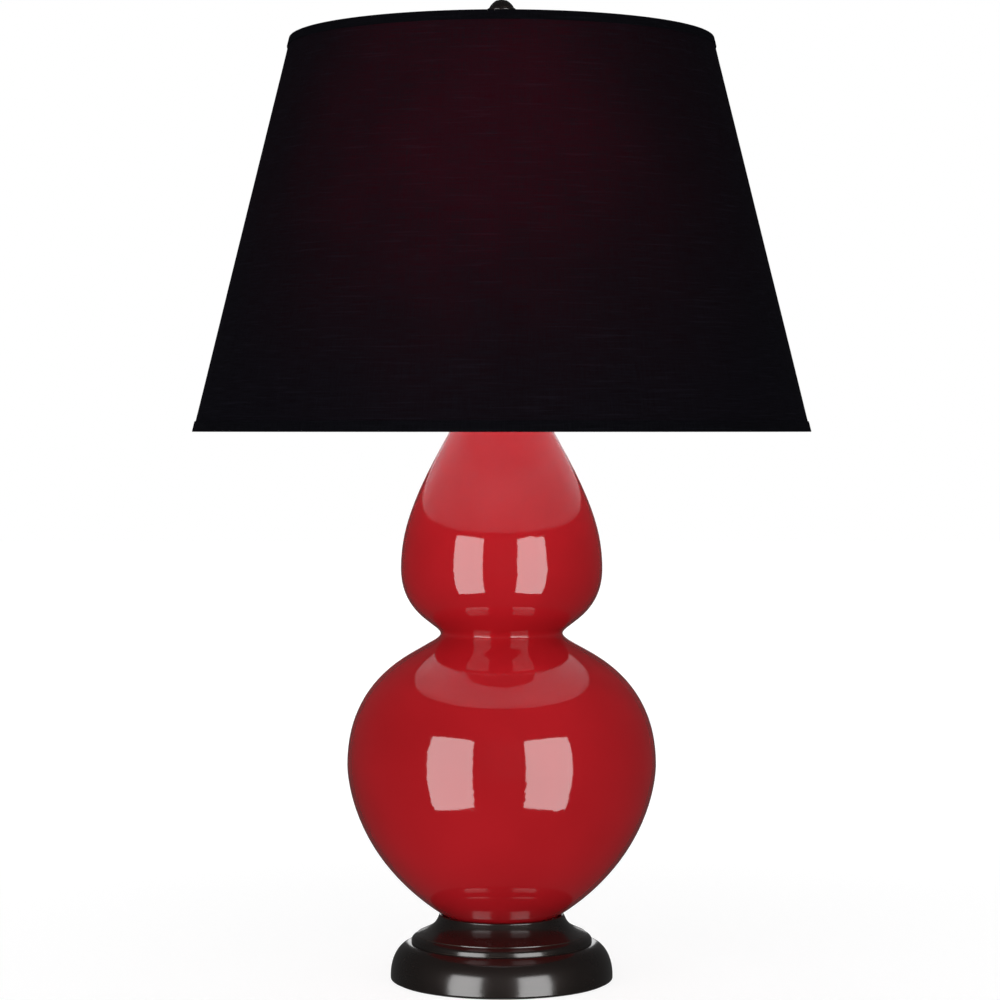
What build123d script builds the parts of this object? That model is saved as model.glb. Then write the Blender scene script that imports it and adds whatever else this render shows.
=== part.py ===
from build123d import *
from math import cos, radians, sin, sqrt
import os

# A table lamp with a double gourd body, a stepped metal base and an empire shade.
# Millimetres. +Z is up, the origin is the centre of the underside, and the switch faces -Y.

# ---- driving dimensions: base ----
FELT_THICKNESS = 1.2
FELT_MARGIN = 1.6
BASE_RADIUS = 87.8
BASE_HEIGHT = 50.7
BASE_WALL = 2.0
BASE_EDGE_ROUND = 1.2
BASE_LAND = 2.2
OVOLO_HEIGHT = 28.6
OVOLO_DEPTH = 16.4
ROLL_SIDE = 1.5
ROLL_HEIGHT = 6.3
ROLL_DEPTH = 4.4
QUIRK_HEIGHT = 0.6
COLLAR_RADIUS = 49.6
COLLAR_LIP = 1.0
RIM_FLANGE = 9.0
SEAT_DEPTH = 6.9

WEIGHT_RADIUS = 60.0
WEIGHT_THICKNESS = 17.0
WEIGHT_HUB_RADIUS = 21.0
WEIGHT_GROUND_GAP = 10.4

# ---- driving dimensions: cord inlet ----
INLET_HEIGHT = 13.8
INLET_BORE_RADIUS = 3.6
INLET_LENGTH = 9.0
INLET_SLEEVE_RADIUS = 5.2
INLET_FLANGE_RADIUS = 7.2
INLET_FLANGE_THICKNESS = 2.4

# ---- driving dimensions: centre rod and its fixings ----
ROD_RADIUS = 5.15
ROD_BORE_RADIUS = 3.3
ROD_TAIL = 1.0
WASHER_RADIUS = 15.0
WASHER_THICKNESS = 1.6
LOCK_WASHER_RADIUS = 8.4
LOCK_WASHER_THICKNESS = 0.9
LOCK_WASHER_TEETH = 12
LOCK_WASHER_NOTCH = 1.2
NUT_ACROSS_FLATS = 16.0
NUT_THICKNESS = 4.4

# ---- driving dimensions: gourd body ----
GOURD_WALL = 6.0
GOURD_FOOT_RADIUS = 38.2
LOWER_BULB_RADIUS = 122.1
LOWER_BULB_HEIGHT = 123.8
WAIST_RADIUS = 48.4
WAIST_HEIGHT = 226.9
UPPER_BULB_RADIUS = 79.8
UPPER_BULB_HEIGHT = 278.4
SHOULDER_RADIUS = 30.7
SHOULDER_HEIGHT = 405.0
NECK_RADIUS = 26.4
GOURD_HEIGHT = 419.0
NECK_COLLAR_HEIGHT = 6.4
GOURD_HOLE_RADIUS = 8.2

# ---- driving dimensions: seats and neck fittings ----
SEAT_GASKET_THICKNESS = 2.0
SEAT_GASKET_RADIUS = 36.0
GASKET_HUB_HEIGHT = 5.0
NECK_GASKET_THICKNESS = 1.0
VASE_CAP_WALL = 1.5
VASE_CAP_SKIRT = 4.6
VASE_CAP_BOSS_RADIUS = 11.0
VASE_CAP_BOSS_HEIGHT = 2.4
SPACER_HEIGHT = 12.0
SPACER_RADIUS = 7.6
SPACER_RING = 1.6

# ---- driving dimensions: harp and its saddle ----
SADDLE_THICKNESS = 1.6
SADDLE_WIDTH = 12.0
SADDLE_BEND = 4.0
SADDLE_SHOULDER = 6.2
TONGUE_WIDTH = 3.6
TONGUE_HEIGHT = 12.0
HARP_LEG_SPACING = 56.0
HARP_WIRE_RADIUS = 2.1
HARP_FOOT_RADIUS = 2.85
HARP_FOOT_LENGTH = 17.8
HARP_HEIGHT = 240.6
HARP_WIDTH = 112.0
HARP_NECK_RISE = 52.0
HARP_FLARE_RISE = 56.0
HARP_TOP_DROP = 47.0
HARP_TOP_WIDTH = 58.0
HARP_BENDS = [40.0, 80.0, 70.0, 22.0]
HARP_EYE_LENGTH = 19.0
HARP_EYE_WIDTH = 9.4
HARP_EYE_THICKNESS = 3.2
HARP_WASHER_RADIUS = 6.4
HARP_WASHER_THICKNESS = 0.8
SLEEVE_LENGTH = 18.0
SLEEVE_WALL = 0.85

# ---- driving dimensions: swivel, shade and finial ----
SWIVEL_PIN_RADIUS = 2.5
SWIVEL_HEAD_RADIUS = 4.2
SWIVEL_HEAD_THICKNESS = 1.8
SWIVEL_PLATE_RADIUS = 9.5
SWIVEL_PLATE_THICKNESS = 2.8
STUD_RADIUS = 3.1
STUD_LENGTH = 13.0
HUB_RADIUS = 12.0
HUB_THICKNESS = 4.0
ARM_COUNT = 3
ARM_RADIUS = 1.7
ARM_LIFT_RUN = 16.0
SHADE_TOP_RADIUS = 167.3
SHADE_BOTTOM_RADIUS = 243.1
SHADE_HEIGHT = 310.6
SHADE_RIM_ABOVE_HUB = 8.6
FABRIC_THICKNESS = 0.9
LINER_THICKNESS = 0.7
RING_WIRE_RADIUS = 1.7
RING_INSET = 3.4
TRIM_THICKNESS = 0.6
TOP_TRIM_WIDTH = 7.4
BOTTOM_TRIM_WIDTH = 8.2
SEAM_WIDTH = 9.0
SEAM_THICKNESS = 0.5
FINIAL_COLLAR_RADIUS = 8.6
FINIAL_COLLAR_HEIGHT = 3.4
FINIAL_NECK_RADIUS = 5.9
FINIAL_NECK_HEIGHT = 8.8
FINIAL_RING_RADIUS = 11.5
FINIAL_RING_HEIGHT = 30.0
FINIAL_RING_THICKNESS = 3.2
FINIAL_CROWN_RADIUS = 4.6
FINIAL_CROWN_HEIGHT = 39.2
FINIAL_BUTTON_RADIUS = 3.2
FINIAL_BUTTON_HEIGHT = 0.9
INSERT_RADIUS = 4.4
INSERT_LENGTH = 15.0

# ---- driving dimensions: socket and switch ----
SOCKET_HUB_RADIUS = 7.4
SOCKET_HUB_HEIGHT = 6.6
SOCKET_CAP_RADIUS = 17.4
SOCKET_CAP_HEIGHT = 19.0
SOCKET_METAL = 0.7
SOCKET_SHELL_HEIGHT = 56.0
SOCKET_BEAD = 0.7
CAP_OVERLAP = 4.6
LINER_PAPER = 0.6
CORE_FLOOR = 10.4
CORE_HEIGHT = 23.6
CORE_RADIUS = 14.9
CORE_FLAT = 12.5
SCREW_SHELL_WALL = 0.55
SCREW_SHELL_HEIGHT = 20.6
CONTACT_RADIUS = 4.6
CONTACT_THICKNESS = 0.8
TERMINAL_HEAD_RADIUS = 2.4
TERMINAL_HEAD_THICKNESS = 1.6
TERMINAL_SHANK_RADIUS = 1.2
TERMINAL_SHANK_LENGTH = 4.0
TERMINAL_HEIGHT = 9.0
SET_SCREW_RADIUS = 1.5
SET_SCREW_PROUD = 1.4
SWITCH_HEIGHT = 25.6
SHAFT_RADIUS = 2.0
SHAFT_LENGTH = 17.0
SHAFT_DEPTH = 7.0
KNOB_RADIUS = 6.2
KNOB_LENGTH = 12.5
KNOB_STANDOFF = 3.6
KNOB_FLUTES = 14
KNOB_FLUTE_RADIUS = 0.8

# ---- driving dimensions: light bulb ----
BULB_CAP_RADIUS = 13.0
BULB_CAP_HEIGHT = 21.5
BULB_CAP_WALL = 0.5
BULB_CAP_BEVEL = 1.3
BULB_TIP_RADIUS = 4.7
BULB_TIP_HEIGHT = 1.1
INSULATOR_HEIGHT = 2.4
BULB_RADIUS = 33.5
BULB_LENGTH = 134.0
BULB_BELLY_DROP = 37.0
BULB_NECK_PULL = 0.36
BULB_BELLY_PULL = 0.46
BULB_GLASS = 0.9
BULB_NECK_DEPTH = 8.0
STEM_RADIUS = 3.6
STEM_HEIGHT = 46.0
STEM_FLARE = 4.0
LEAD_RADIUS = 0.4
LEAD_SPREAD = 14.0
LEAD_HEIGHT = 26.0
FILAMENT_RADIUS = 0.7

# ---- clearances ----
RUNNING = 0.05
SLIDING = 0.1
HOLE_EASE = 0.2
SEATED = 0.1

# ---- curve handles: how full each round is ----
QUARTER_ROUND = 0.5523
SHOULDER_SLOPE = 30.5
FOOT_SLOPE = 29.9
SHOULDER_PULL = 77.2
UPPER_PULL_UP = 31.3
UPPER_PULL_DOWN = 37.8
WAIST_PULL_UP = 7.6
WAIST_PULL_DOWN = 9.2
LOWER_PULL_UP = 81.4
LOWER_PULL_DOWN = 10.9
FOOT_PULL = 91.2
COVE_SLOPE = 24.0
COVE_PULL_DOWN = 11.9
COLLAR_SLOPE = 69.0
COLLAR_PULL = 9.0
ROLL_SLOPE = 27.0
ROLL_PULL = 2.6
CUT = 1.0

# ---- straight runs that stand for a curve where it is out of sight ----
CAVITY_STEPS = 4
ROUND_STEPS = 3
WIRE_SIDES = 8

# ---- heights of the stack, from the table up ----
base_top = FELT_THICKNESS + BASE_HEIGHT
seat_top = base_top - SEAT_DEPTH
seat_under = seat_top - BASE_WALL
gourd_foot = seat_top + SEAT_GASKET_THICKNESS
gourd_top = gourd_foot + GOURD_HEIGHT
cap_plate = gourd_top + NECK_GASKET_THICKNESS
boss_top = cap_plate + VASE_CAP_WALL + VASE_CAP_BOSS_HEIGHT
spacer_top = boss_top + SPACER_HEIGHT
saddle_floor = spacer_top + LOCK_WASHER_THICKNESS
saddle_top = saddle_floor + SADDLE_THICKNESS
saddle_shoulder = saddle_floor + SADDLE_SHOULDER
tongue_top = saddle_shoulder + TONGUE_HEIGHT
socket_floor = saddle_top
rod_top = socket_floor + SOCKET_HUB_HEIGHT - CUT
core_floor = socket_floor + CORE_FLOOR
core_top = core_floor + CORE_HEIGHT
shell_top = socket_floor + SOCKET_SHELL_HEIGHT
shell_low = socket_floor + SOCKET_CAP_HEIGHT - CAP_OVERLAP
switch_height = socket_floor + SWITCH_HEIGHT
bulb_low = core_top + CONTACT_THICKNESS + SEATED
bulb_cap_low = bulb_low + BULB_TIP_HEIGHT + INSULATOR_HEIGHT
bulb_cap_top = bulb_cap_low + BULB_CAP_HEIGHT
bulb_top = bulb_low + BULB_LENGTH
harp_top = saddle_top + HARP_HEIGHT
eye_top = harp_top + HARP_EYE_THICKNESS / 2
eye_under = harp_top - HARP_EYE_THICKNESS / 2
plate_low = eye_top + HARP_WASHER_THICKNESS + SLIDING
plate_top = plate_low + SWIVEL_PLATE_THICKNESS
hub_low = plate_top + SLIDING
hub_top = hub_low + HUB_THICKNESS
finial_low = hub_top + SEATED
shade_top = hub_top + SHADE_RIM_ABOVE_HUB
shade_low = shade_top - SHADE_HEIGHT

# ---- fits that follow from the sizes above ----
rod_hole = ROD_RADIUS + HOLE_EASE / 2
sleeve_bore = HARP_FOOT_RADIUS + HOLE_EASE
sleeve_low = saddle_shoulder + SLIDING
leg_x = HARP_LEG_SPACING / 2
tongue_outer = leg_x - SADDLE_THICKNESS / 4 - SLIDING
shell_outer = SOCKET_CAP_RADIUS - SOCKET_METAL - HOLE_EASE / 2
screw_shell_bore = BULB_CAP_RADIUS + SLIDING
stud_bore = STUD_RADIUS + RUNNING
shade_slope = (SHADE_BOTTOM_RADIUS - SHADE_TOP_RADIUS) / (SHADE_HEIGHT - 2 * TRIM_THICKNESS)
shade_stretch = sqrt(1 + shade_slope**2)


# ---- helpers ----
def at(radius, height):
    """A point of a turned outline."""
    return Vector(radius, 0, height)


def bar(radius, low, high):
    """A solid cylinder about the lamp's axis."""
    return Pos(0, 0, low) * Cylinder(radius, high - low, align=(Align.CENTER, Align.CENTER, Align.MIN))


def collar(inner, outer, low, high):
    """A plain ring about the lamp's axis."""
    return bar(outer, low, high) - bar(inner, low - CUT, high + CUT)


def turned(edges):
    """The solid turned from a closed outline."""
    return revolve(make_face(edges), Axis.Z, 360)


def turned_polygon(points):
    """The solid turned from a closed outline of straight edges."""
    return turned(Polyline(*[at(radius, height) for radius, height in points], close=True).edges())


def quarter_round(start, corner, end):
    """A quarter round from start to end, bulging towards the corner."""
    return Bezier(start, start + (corner - start) * QUARTER_ROUND, end + (corner - end) * QUARTER_ROUND, end)


def slope(rise):
    """One step outwards in the XZ plane, rising at an angle."""
    return Vector(cos(radians(rise)), 0, sin(radians(rise)))


def chorded(edges, steps):
    """The corners along a run of edges, with each edge split into straight steps."""
    corners = [edge @ (step / steps) for edge in edges for step in range(steps)]
    return [(corner.X, corner.Z) for corner in corners]


def rod_along_y(radius, near, far, height):
    """A round bar that runs from y = near to y = far."""
    length = far - near
    return Pos(0, near + length / 2, height) * Rot(90, 0, 0) * Cylinder(radius, length)


def rod_along_x(radius, near, far, height):
    """A round bar that runs from x = near to x = far."""
    length = far - near
    return Pos(near + length / 2, 0, height) * Rot(0, 90, 0) * Cylinder(radius, length)


def bent_wire(radius, points, bends):
    """A round wire along straight runs joined by bends, in the XZ plane."""
    path = FilletPolyline(*[at(x, z) for x, z in points], radius=bends)
    return sweep(Plane(origin=path @ 0, z_dir=path % 0) * Circle(radius), path)


# ---- base ----
def base_sides(inset):
    """The side of the base from its foot to its lip, drawn in by an inset, and its two middle ends."""
    low = FELT_THICKNESS + inset
    outer = BASE_RADIUS - inset
    waist = outer - OVOLO_DEPTH
    lip = COLLAR_RADIUS - inset
    top = base_top - inset
    ovolo_top = FELT_THICKNESS + OVOLO_HEIGHT - inset
    foot = at(outer - BASE_EDGE_ROUND, low)
    side = at(outer, low + BASE_EDGE_ROUND)
    land_top = side + Vector(0, 0, BASE_LAND)
    ovolo_end = at(waist, ovolo_top)
    roll_side = at(waist, ovolo_top + ROLL_SIDE)
    roll_end = at(waist - ROLL_DEPTH, ovolo_top + ROLL_HEIGHT)
    cove_foot = roll_end + Vector(0, 0, QUIRK_HEIGHT)
    lip_foot = at(lip, top - COLLAR_LIP)
    lip_top = at(lip - COLLAR_LIP, top)
    roll_run = slope(-ROLL_SLOPE)
    sides = [
        quarter_round(foot, at(outer, low), side),
        Line(side, land_top),
        quarter_round(land_top, at(outer, ovolo_top), ovolo_end),
        Line(ovolo_end, roll_side),
        Bezier(roll_side, roll_side + Vector(0, 0, ROLL_PULL), roll_end + roll_run * ROLL_PULL, roll_end),
        Line(roll_end, cove_foot),
        Bezier(
            cove_foot,
            cove_foot - slope(-COVE_SLOPE) * COVE_PULL_DOWN,
            lip_foot + slope(-COLLAR_SLOPE) * COLLAR_PULL,
            lip_foot,
        ),
        quarter_round(lip_foot, at(lip, top), lip_top),
    ]
    return sides, at(0, low), at(0, top)


def base_form():
    """The base as a solid: edge round, land, ovolo, roll, quirk, cove and lip."""
    sides, low, high = base_sides(0)
    return turned([Line(low, sides[0] @ 0), *sides, Line(sides[-1] @ 1, high), Line(high, low)])


def base_hollow():
    """The hollow under the base, one wall in from its outside."""
    sides, low, high = base_sides(BASE_WALL)
    end = sides[-1] @ 1
    return turned_polygon([(0, low.Z), *chorded(sides, ROUND_STEPS), (end.X, end.Z), (0, high.Z)])


def ovolo_radius(height):
    """The base's radius at a height on its big ovolo."""
    land_top = FELT_THICKNESS + BASE_EDGE_ROUND + BASE_LAND
    rise = max(height - land_top, 0) / (FELT_THICKNESS + OVOLO_HEIGHT - land_top)
    return BASE_RADIUS - OVOLO_DEPTH * (1 - sqrt(1 - rise**2))


inlet_face = ovolo_radius(FELT_THICKNESS + INLET_HEIGHT - INLET_FLANGE_RADIUS / 2)
inlet_height = FELT_THICKNESS + INLET_HEIGHT


def felt_pad():
    """The felt disc under the base."""
    return bar(BASE_RADIUS - BASE_EDGE_ROUND - FELT_MARGIN, 0, FELT_THICKNESS)


def base_shell():
    """The spun metal base: an open shell with a pressed seat for the body and a rolled-in rim."""
    opening = BASE_RADIUS - BASE_EDGE_ROUND - RIM_FLANGE
    shell = base_form() - base_hollow()
    shell -= bar(opening, FELT_THICKNESS - CUT, FELT_THICKNESS + BASE_WALL + CUT)
    shell += bar(COLLAR_RADIUS - COLLAR_LIP, seat_under, base_top)
    shell -= bar(COLLAR_RADIUS - BASE_WALL, seat_top, base_top + CUT)
    shell -= bar(rod_hole, seat_under - CUT, seat_top + CUT)
    inner_end = inlet_face - 3 * INLET_LENGTH
    inlet_hole = rod_along_y(INLET_SLEEVE_RADIUS, inner_end, BASE_RADIUS + CUT, inlet_height)
    spot_face = rod_along_y(INLET_FLANGE_RADIUS, inlet_face, BASE_RADIUS + CUT, inlet_height)
    return shell - inlet_hole - spot_face


def base_weight():
    """The cast iron weight, clamped under the seat by the rod's nut."""
    low = FELT_THICKNESS + WEIGHT_GROUND_GAP
    high = low + WEIGHT_THICKNESS
    draft = BASE_WALL
    outline = [
        (rod_hole, low),
        (WEIGHT_RADIUS - draft, low),
        (WEIGHT_RADIUS, low + draft),
        (WEIGHT_RADIUS, high - draft),
        (WEIGHT_RADIUS - draft, high),
        (WEIGHT_HUB_RADIUS + draft, high),
        (WEIGHT_HUB_RADIUS, high + draft),
        (WEIGHT_HUB_RADIUS, seat_under),
        (rod_hole, seat_under),
    ]
    return turned_polygon(outline)


def cord_bushing():
    """The plastic bushing that lines the cord's hole at the back of the base."""
    outer_face = inlet_face + INLET_FLANGE_THICKNESS
    inner_face = outer_face - INLET_LENGTH
    sleeve = rod_along_y(INLET_SLEEVE_RADIUS, inner_face, outer_face, inlet_height)
    flange = rod_along_y(INLET_FLANGE_RADIUS, inlet_face, outer_face, inlet_height)
    flange = chamfer(flange.edges().sort_by(Axis.Y)[-1], INLET_FLANGE_THICKNESS / 3)
    bore = rod_along_y(INLET_BORE_RADIUS, inner_face - CUT, outer_face + CUT, inlet_height)
    return sleeve + flange - bore


# ---- centre rod and its fixings ----
washer_top = FELT_THICKNESS + WEIGHT_GROUND_GAP
washer_low = washer_top - WASHER_THICKNESS
lock_washer_low = washer_low - LOCK_WASHER_THICKNESS
nut_low = lock_washer_low - NUT_THICKNESS


def bottom_washer():
    """The wide washer under the weight."""
    return collar(rod_hole, WASHER_RADIUS, washer_low, washer_top)


def lock_washer(low):
    """A lock washer with its ring of teeth."""
    washer = collar(rod_hole, LOCK_WASHER_RADIUS, low, low + LOCK_WASHER_THICKNESS)
    notch = Box(LOCK_WASHER_NOTCH, LOCK_WASHER_NOTCH, 4 * LOCK_WASHER_THICKNESS)
    notch = Pos(LOCK_WASHER_RADIUS, 0, low) * notch
    for tooth in range(LOCK_WASHER_TEETH):
        washer -= Rot(0, 0, tooth * 360 / LOCK_WASHER_TEETH) * notch
    return washer


def bottom_nut():
    """The hexagonal nut on the rod's lower end."""
    across_corners = NUT_ACROSS_FLATS / cos(radians(30))
    blank = extrude(Pos(0, 0, nut_low) * RegularPolygon(across_corners / 2, 6), NUT_THICKNESS)
    return blank - bar(ROD_RADIUS, nut_low - CUT, lock_washer_low + CUT)


def threaded_rod():
    """The hollow rod that ties base, body, neck and socket together."""
    return collar(ROD_BORE_RADIUS, ROD_RADIUS, nut_low - ROD_TAIL, rod_top)


# ---- body and neck ----
def knot(radius, height, lean, inset):
    """A point of the gourd's side and the way the side runs down through it, drawn in by an inset."""
    run = Vector(0, 0, -1).rotate(Axis.Y, lean)
    inward = Vector(run.Z, 0, -run.X)
    return at(radius, gourd_foot + height) + inward * inset, run


def gourd_sides(inset):
    """The gourd's side from its neck down to its foot, drawn in by an inset."""
    shoulder, shoulder_run = knot(SHOULDER_RADIUS, SHOULDER_HEIGHT, -SHOULDER_SLOPE, inset)
    upper, down = knot(UPPER_BULB_RADIUS, UPPER_BULB_HEIGHT, 0, inset)
    waist, down = knot(WAIST_RADIUS, WAIST_HEIGHT, 0, inset)
    lower, down = knot(LOWER_BULB_RADIUS, LOWER_BULB_HEIGHT, 0, inset)
    foot, foot_run = knot(GOURD_FOOT_RADIUS, 0, 90 - FOOT_SLOPE, inset)
    neck = at(NECK_RADIUS - inset, gourd_top - NECK_COLLAR_HEIGHT - inset / 2)
    return [
        Line(neck, shoulder),
        Bezier(shoulder, shoulder + shoulder_run * SHOULDER_PULL, upper - down * UPPER_PULL_UP, upper),
        Bezier(upper, upper + down * UPPER_PULL_DOWN, waist - down * WAIST_PULL_UP, waist),
        Bezier(waist, waist + down * WAIST_PULL_DOWN, lower - down * LOWER_PULL_UP, lower),
        Bezier(lower, lower + down * LOWER_PULL_DOWN, foot - foot_run * FOOT_PULL, foot),
    ]


def gourd_form():
    """The gourd as a solid: a neck and two bulbs on a flat foot."""
    sides = gourd_sides(0)
    neck = sides[0] @ 0
    foot = sides[-1] @ 1
    rim = at(neck.X, gourd_top)
    top = Line(at(0, gourd_top), rim)
    bottom = Line(foot, at(0, foot.Z))
    return turned([top, Line(rim, neck), *sides, bottom, Line(at(0, foot.Z), at(0, gourd_top))])


def gourd_hollow():
    """The hollow of the gourd, one wall in from its outside and open at the neck."""
    sides = gourd_sides(GOURD_WALL)
    neck = sides[0] @ 0
    foot = sides[-1] @ 1
    high = gourd_top + CUT
    corners = [(0, high), (neck.X, high), *chorded(sides, CAVITY_STEPS)]
    return turned_polygon(corners + [(foot.X, foot.Z), (0, foot.Z)])


def gourd_body():
    """The hollow glazed body, open at its neck and drilled through its foot."""
    rod_way = bar(GOURD_HOLE_RADIUS, gourd_foot - CUT, gourd_foot + 2 * GOURD_WALL)
    return gourd_form() - gourd_hollow() - rod_way


def seat_gasket():
    """The soft ring under the body's foot, with a hub that centres the foot on the rod."""
    disc = bar(SEAT_GASKET_RADIUS, seat_top, gourd_foot)
    hub = bar(GOURD_HOLE_RADIUS - HOLE_EASE, gourd_foot, gourd_foot + GASKET_HUB_HEIGHT)
    return disc + hub - bar(rod_hole, seat_top - CUT, gourd_foot + GASKET_HUB_HEIGHT + CUT)


def neck_gasket():
    """The soft ring between the neck and its cap."""
    return collar(NECK_RADIUS - GOURD_WALL, NECK_RADIUS, gourd_top, cap_plate)


def vase_cap():
    """The pressed metal cap over the neck: skirt, domed plate and boss."""
    inner = NECK_RADIUS + 3 * HOLE_EASE
    outer = inner + VASE_CAP_WALL
    skirt_low = cap_plate - VASE_CAP_SKIRT
    plate_outer = cap_plate + VASE_CAP_WALL / 3
    plate_top_height = cap_plate + VASE_CAP_WALL
    corner = at(outer, plate_top_height)
    rim = at(outer, plate_outer)
    shelf = at(outer - VASE_CAP_WALL, plate_top_height)
    boss_foot = at(VASE_CAP_BOSS_RADIUS + VASE_CAP_BOSS_HEIGHT, plate_top_height)
    boss_corner = at(VASE_CAP_BOSS_RADIUS, plate_top_height)
    boss_rim = at(VASE_CAP_BOSS_RADIUS, boss_top)
    return turned(
        [
            Line(at(inner, skirt_low), at(outer, skirt_low)),
            Line(at(outer, skirt_low), rim),
            quarter_round(rim, corner, shelf),
            Line(shelf, boss_foot),
            quarter_round(boss_foot, boss_corner, boss_rim),
            Line(boss_rim, at(rod_hole, boss_top)),
            Line(at(rod_hole, boss_top), at(rod_hole, cap_plate)),
            Line(at(rod_hole, cap_plate), at(inner, cap_plate)),
            Line(at(inner, cap_plate), at(inner, skirt_low)),
        ]
    )


def neck_spacer():
    """The short turned neck between the cap and the saddle, waisted between two rings."""
    foot = at(SPACER_RADIUS + SPACER_RING, boss_top)
    foot_top = at(SPACER_RADIUS + SPACER_RING, boss_top + SPACER_RING)
    head_low = at(SPACER_RADIUS + SPACER_RING, spacer_top - SPACER_RING)
    head = at(SPACER_RADIUS + SPACER_RING, spacer_top)
    waist = at(SPACER_RADIUS - SPACER_RING / 2, (boss_top + spacer_top) / 2)
    return turned(
        [
            Line(at(rod_hole, boss_top), foot),
            Line(foot, foot_top),
            ThreePointArc(foot_top, waist, head_low),
            Line(head_low, head),
            Line(head, at(rod_hole, spacer_top)),
            Line(at(rod_hole, spacer_top), at(rod_hole, boss_top)),
        ]
    )


# ---- harp ----
def harp_saddle():
    """The bent strip under the socket whose two tongues hold the harp's feet."""
    middle = tongue_outer - SADDLE_THICKNESS / 2
    floor = saddle_floor + SADDLE_THICKNESS / 2
    route = [(middle, tongue_top), (middle, floor), (-middle, floor), (-middle, tongue_top)]
    path = FilletPolyline(*[at(x, z) for x, z in route], radius=SADDLE_BEND)
    start = Plane(origin=path @ 0, z_dir=path % 0, x_dir=(0, 1, 0))
    strip = sweep(start * Rectangle(SADDLE_WIDTH, SADDLE_THICKNESS), path)
    side_width = (SADDLE_WIDTH - TONGUE_WIDTH) / 2 + CUT
    waste = Box(3 * leg_x, side_width, 2 * TONGUE_HEIGHT)
    for side in (-1, 1):
        waste_middle = side * (TONGUE_WIDTH + side_width) / 2
        strip -= Pos(0, waste_middle, saddle_shoulder + TONGUE_HEIGHT) * waste
    return strip - bar(rod_hole, saddle_floor - CUT, saddle_top + CUT)


def harp_wire():
    """The bent harp: two swaged and notched feet, a flared loop, and a flattened eye at the top."""
    widest = HARP_WIDTH / 2
    flare_low = saddle_top + HARP_NECK_RISE
    flare_top = flare_low + HARP_FLARE_RISE
    turn_low = harp_top - HARP_TOP_DROP
    top_corner = HARP_TOP_WIDTH / 2
    foot_low = saddle_shoulder + 2 * HOLE_EASE
    foot_top = foot_low + HARP_FOOT_LENGTH
    half = [
        (leg_x, foot_top - CUT),
        (leg_x, flare_low),
        (widest, flare_top),
        (widest, turn_low),
        (top_corner, harp_top),
    ]
    route = half + [(-x, z) for x, z in reversed(half)]
    harp = bent_wire(HARP_WIRE_RADIUS, route, HARP_BENDS + HARP_BENDS[::-1])
    harp -= Pos(0, 0, harp_top) * Box(HARP_EYE_LENGTH, HARP_EYE_WIDTH, 4 * HARP_WIRE_RADIUS)
    eye = extrude(SlotOverall(HARP_EYE_LENGTH + CUT, HARP_EYE_WIDTH), HARP_EYE_THICKNESS)
    harp += Pos(0, 0, eye_under) * eye
    harp -= bar(SWIVEL_PIN_RADIUS + RUNNING, eye_under - CUT, eye_top + CUT)
    notch_width = tongue_outer + SLIDING
    notch_low = foot_low - CUT
    notch_top = tongue_top + SLIDING
    notch = Box(notch_width, 3 * HARP_FOOT_RADIUS, notch_top - notch_low)
    for side in (-1, 1):
        foot = Pos(side * leg_x, 0, 0) * bar(HARP_FOOT_RADIUS, foot_low, foot_top)
        foot = chamfer(foot.edges().group_by(Axis.Z)[-1], HARP_FOOT_RADIUS - HARP_WIRE_RADIUS)
        harp += foot - Pos(side * notch_width / 2, 0, (notch_low + notch_top) / 2) * notch
    return harp


def harp_washer():
    """The thin washer between the harp's eye and the swivel."""
    return collar(SWIVEL_PIN_RADIUS + RUNNING, HARP_WASHER_RADIUS, eye_top, eye_top + HARP_WASHER_THICKNESS)


def harp_sleeve(side):
    """The sliding sleeve that locks one foot of the harp to the saddle."""
    tube = collar(sleeve_bore, sleeve_bore + SLEEVE_WALL, sleeve_low, sleeve_low + SLEEVE_LENGTH)
    return Pos(side * leg_x, 0, 0) * tube


def harp_swivel():
    """The stud that turns in the harp's eye: riveted head, pin, plate and threaded post."""
    head_top = eye_under - SLIDING
    head_low = head_top - SWIVEL_HEAD_THICKNESS
    bevel = SWIVEL_HEAD_THICKNESS / 2
    outline = [
        (0, head_low),
        (SWIVEL_HEAD_RADIUS - bevel, head_low),
        (SWIVEL_HEAD_RADIUS, head_low + bevel),
        (SWIVEL_HEAD_RADIUS, head_top),
        (SWIVEL_PIN_RADIUS, head_top),
        (SWIVEL_PIN_RADIUS, plate_low),
        (SWIVEL_PLATE_RADIUS - bevel, plate_low),
        (SWIVEL_PLATE_RADIUS, plate_low + bevel),
        (SWIVEL_PLATE_RADIUS, plate_top),
        (STUD_RADIUS, plate_top),
        (STUD_RADIUS, plate_top + STUD_LENGTH - bevel / 2),
        (STUD_RADIUS - bevel / 2, plate_top + STUD_LENGTH),
        (0, plate_top + STUD_LENGTH),
    ]
    return turned_polygon(outline)


# ---- shade ----
def fabric_radius(height):
    """The outer radius of the shade's fabric at a height."""
    return SHADE_TOP_RADIUS + (shade_top - TRIM_THICKNESS - height) * shade_slope


def shade_skin(inner, outer, low, high):
    """A conical layer of the shade, between two depths in from the fabric's outside."""
    corners = [(outer, low), (outer, high), (inner, high), (inner, low)]
    return turned_polygon([(fabric_radius(z) - depth * shade_stretch, z) for depth, z in corners])


def shade_fabric():
    """The outer cloth of the shade."""
    return shade_skin(FABRIC_THICKNESS, 0, shade_low + TRIM_THICKNESS, shade_top - TRIM_THICKNESS)


def shade_liner():
    """The stiff liner that the cloth is bonded to."""
    depth = FABRIC_THICKNESS + LINER_THICKNESS
    return shade_skin(depth, FABRIC_THICKNESS, shade_low + TRIM_THICKNESS, shade_top - TRIM_THICKNESS)


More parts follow.
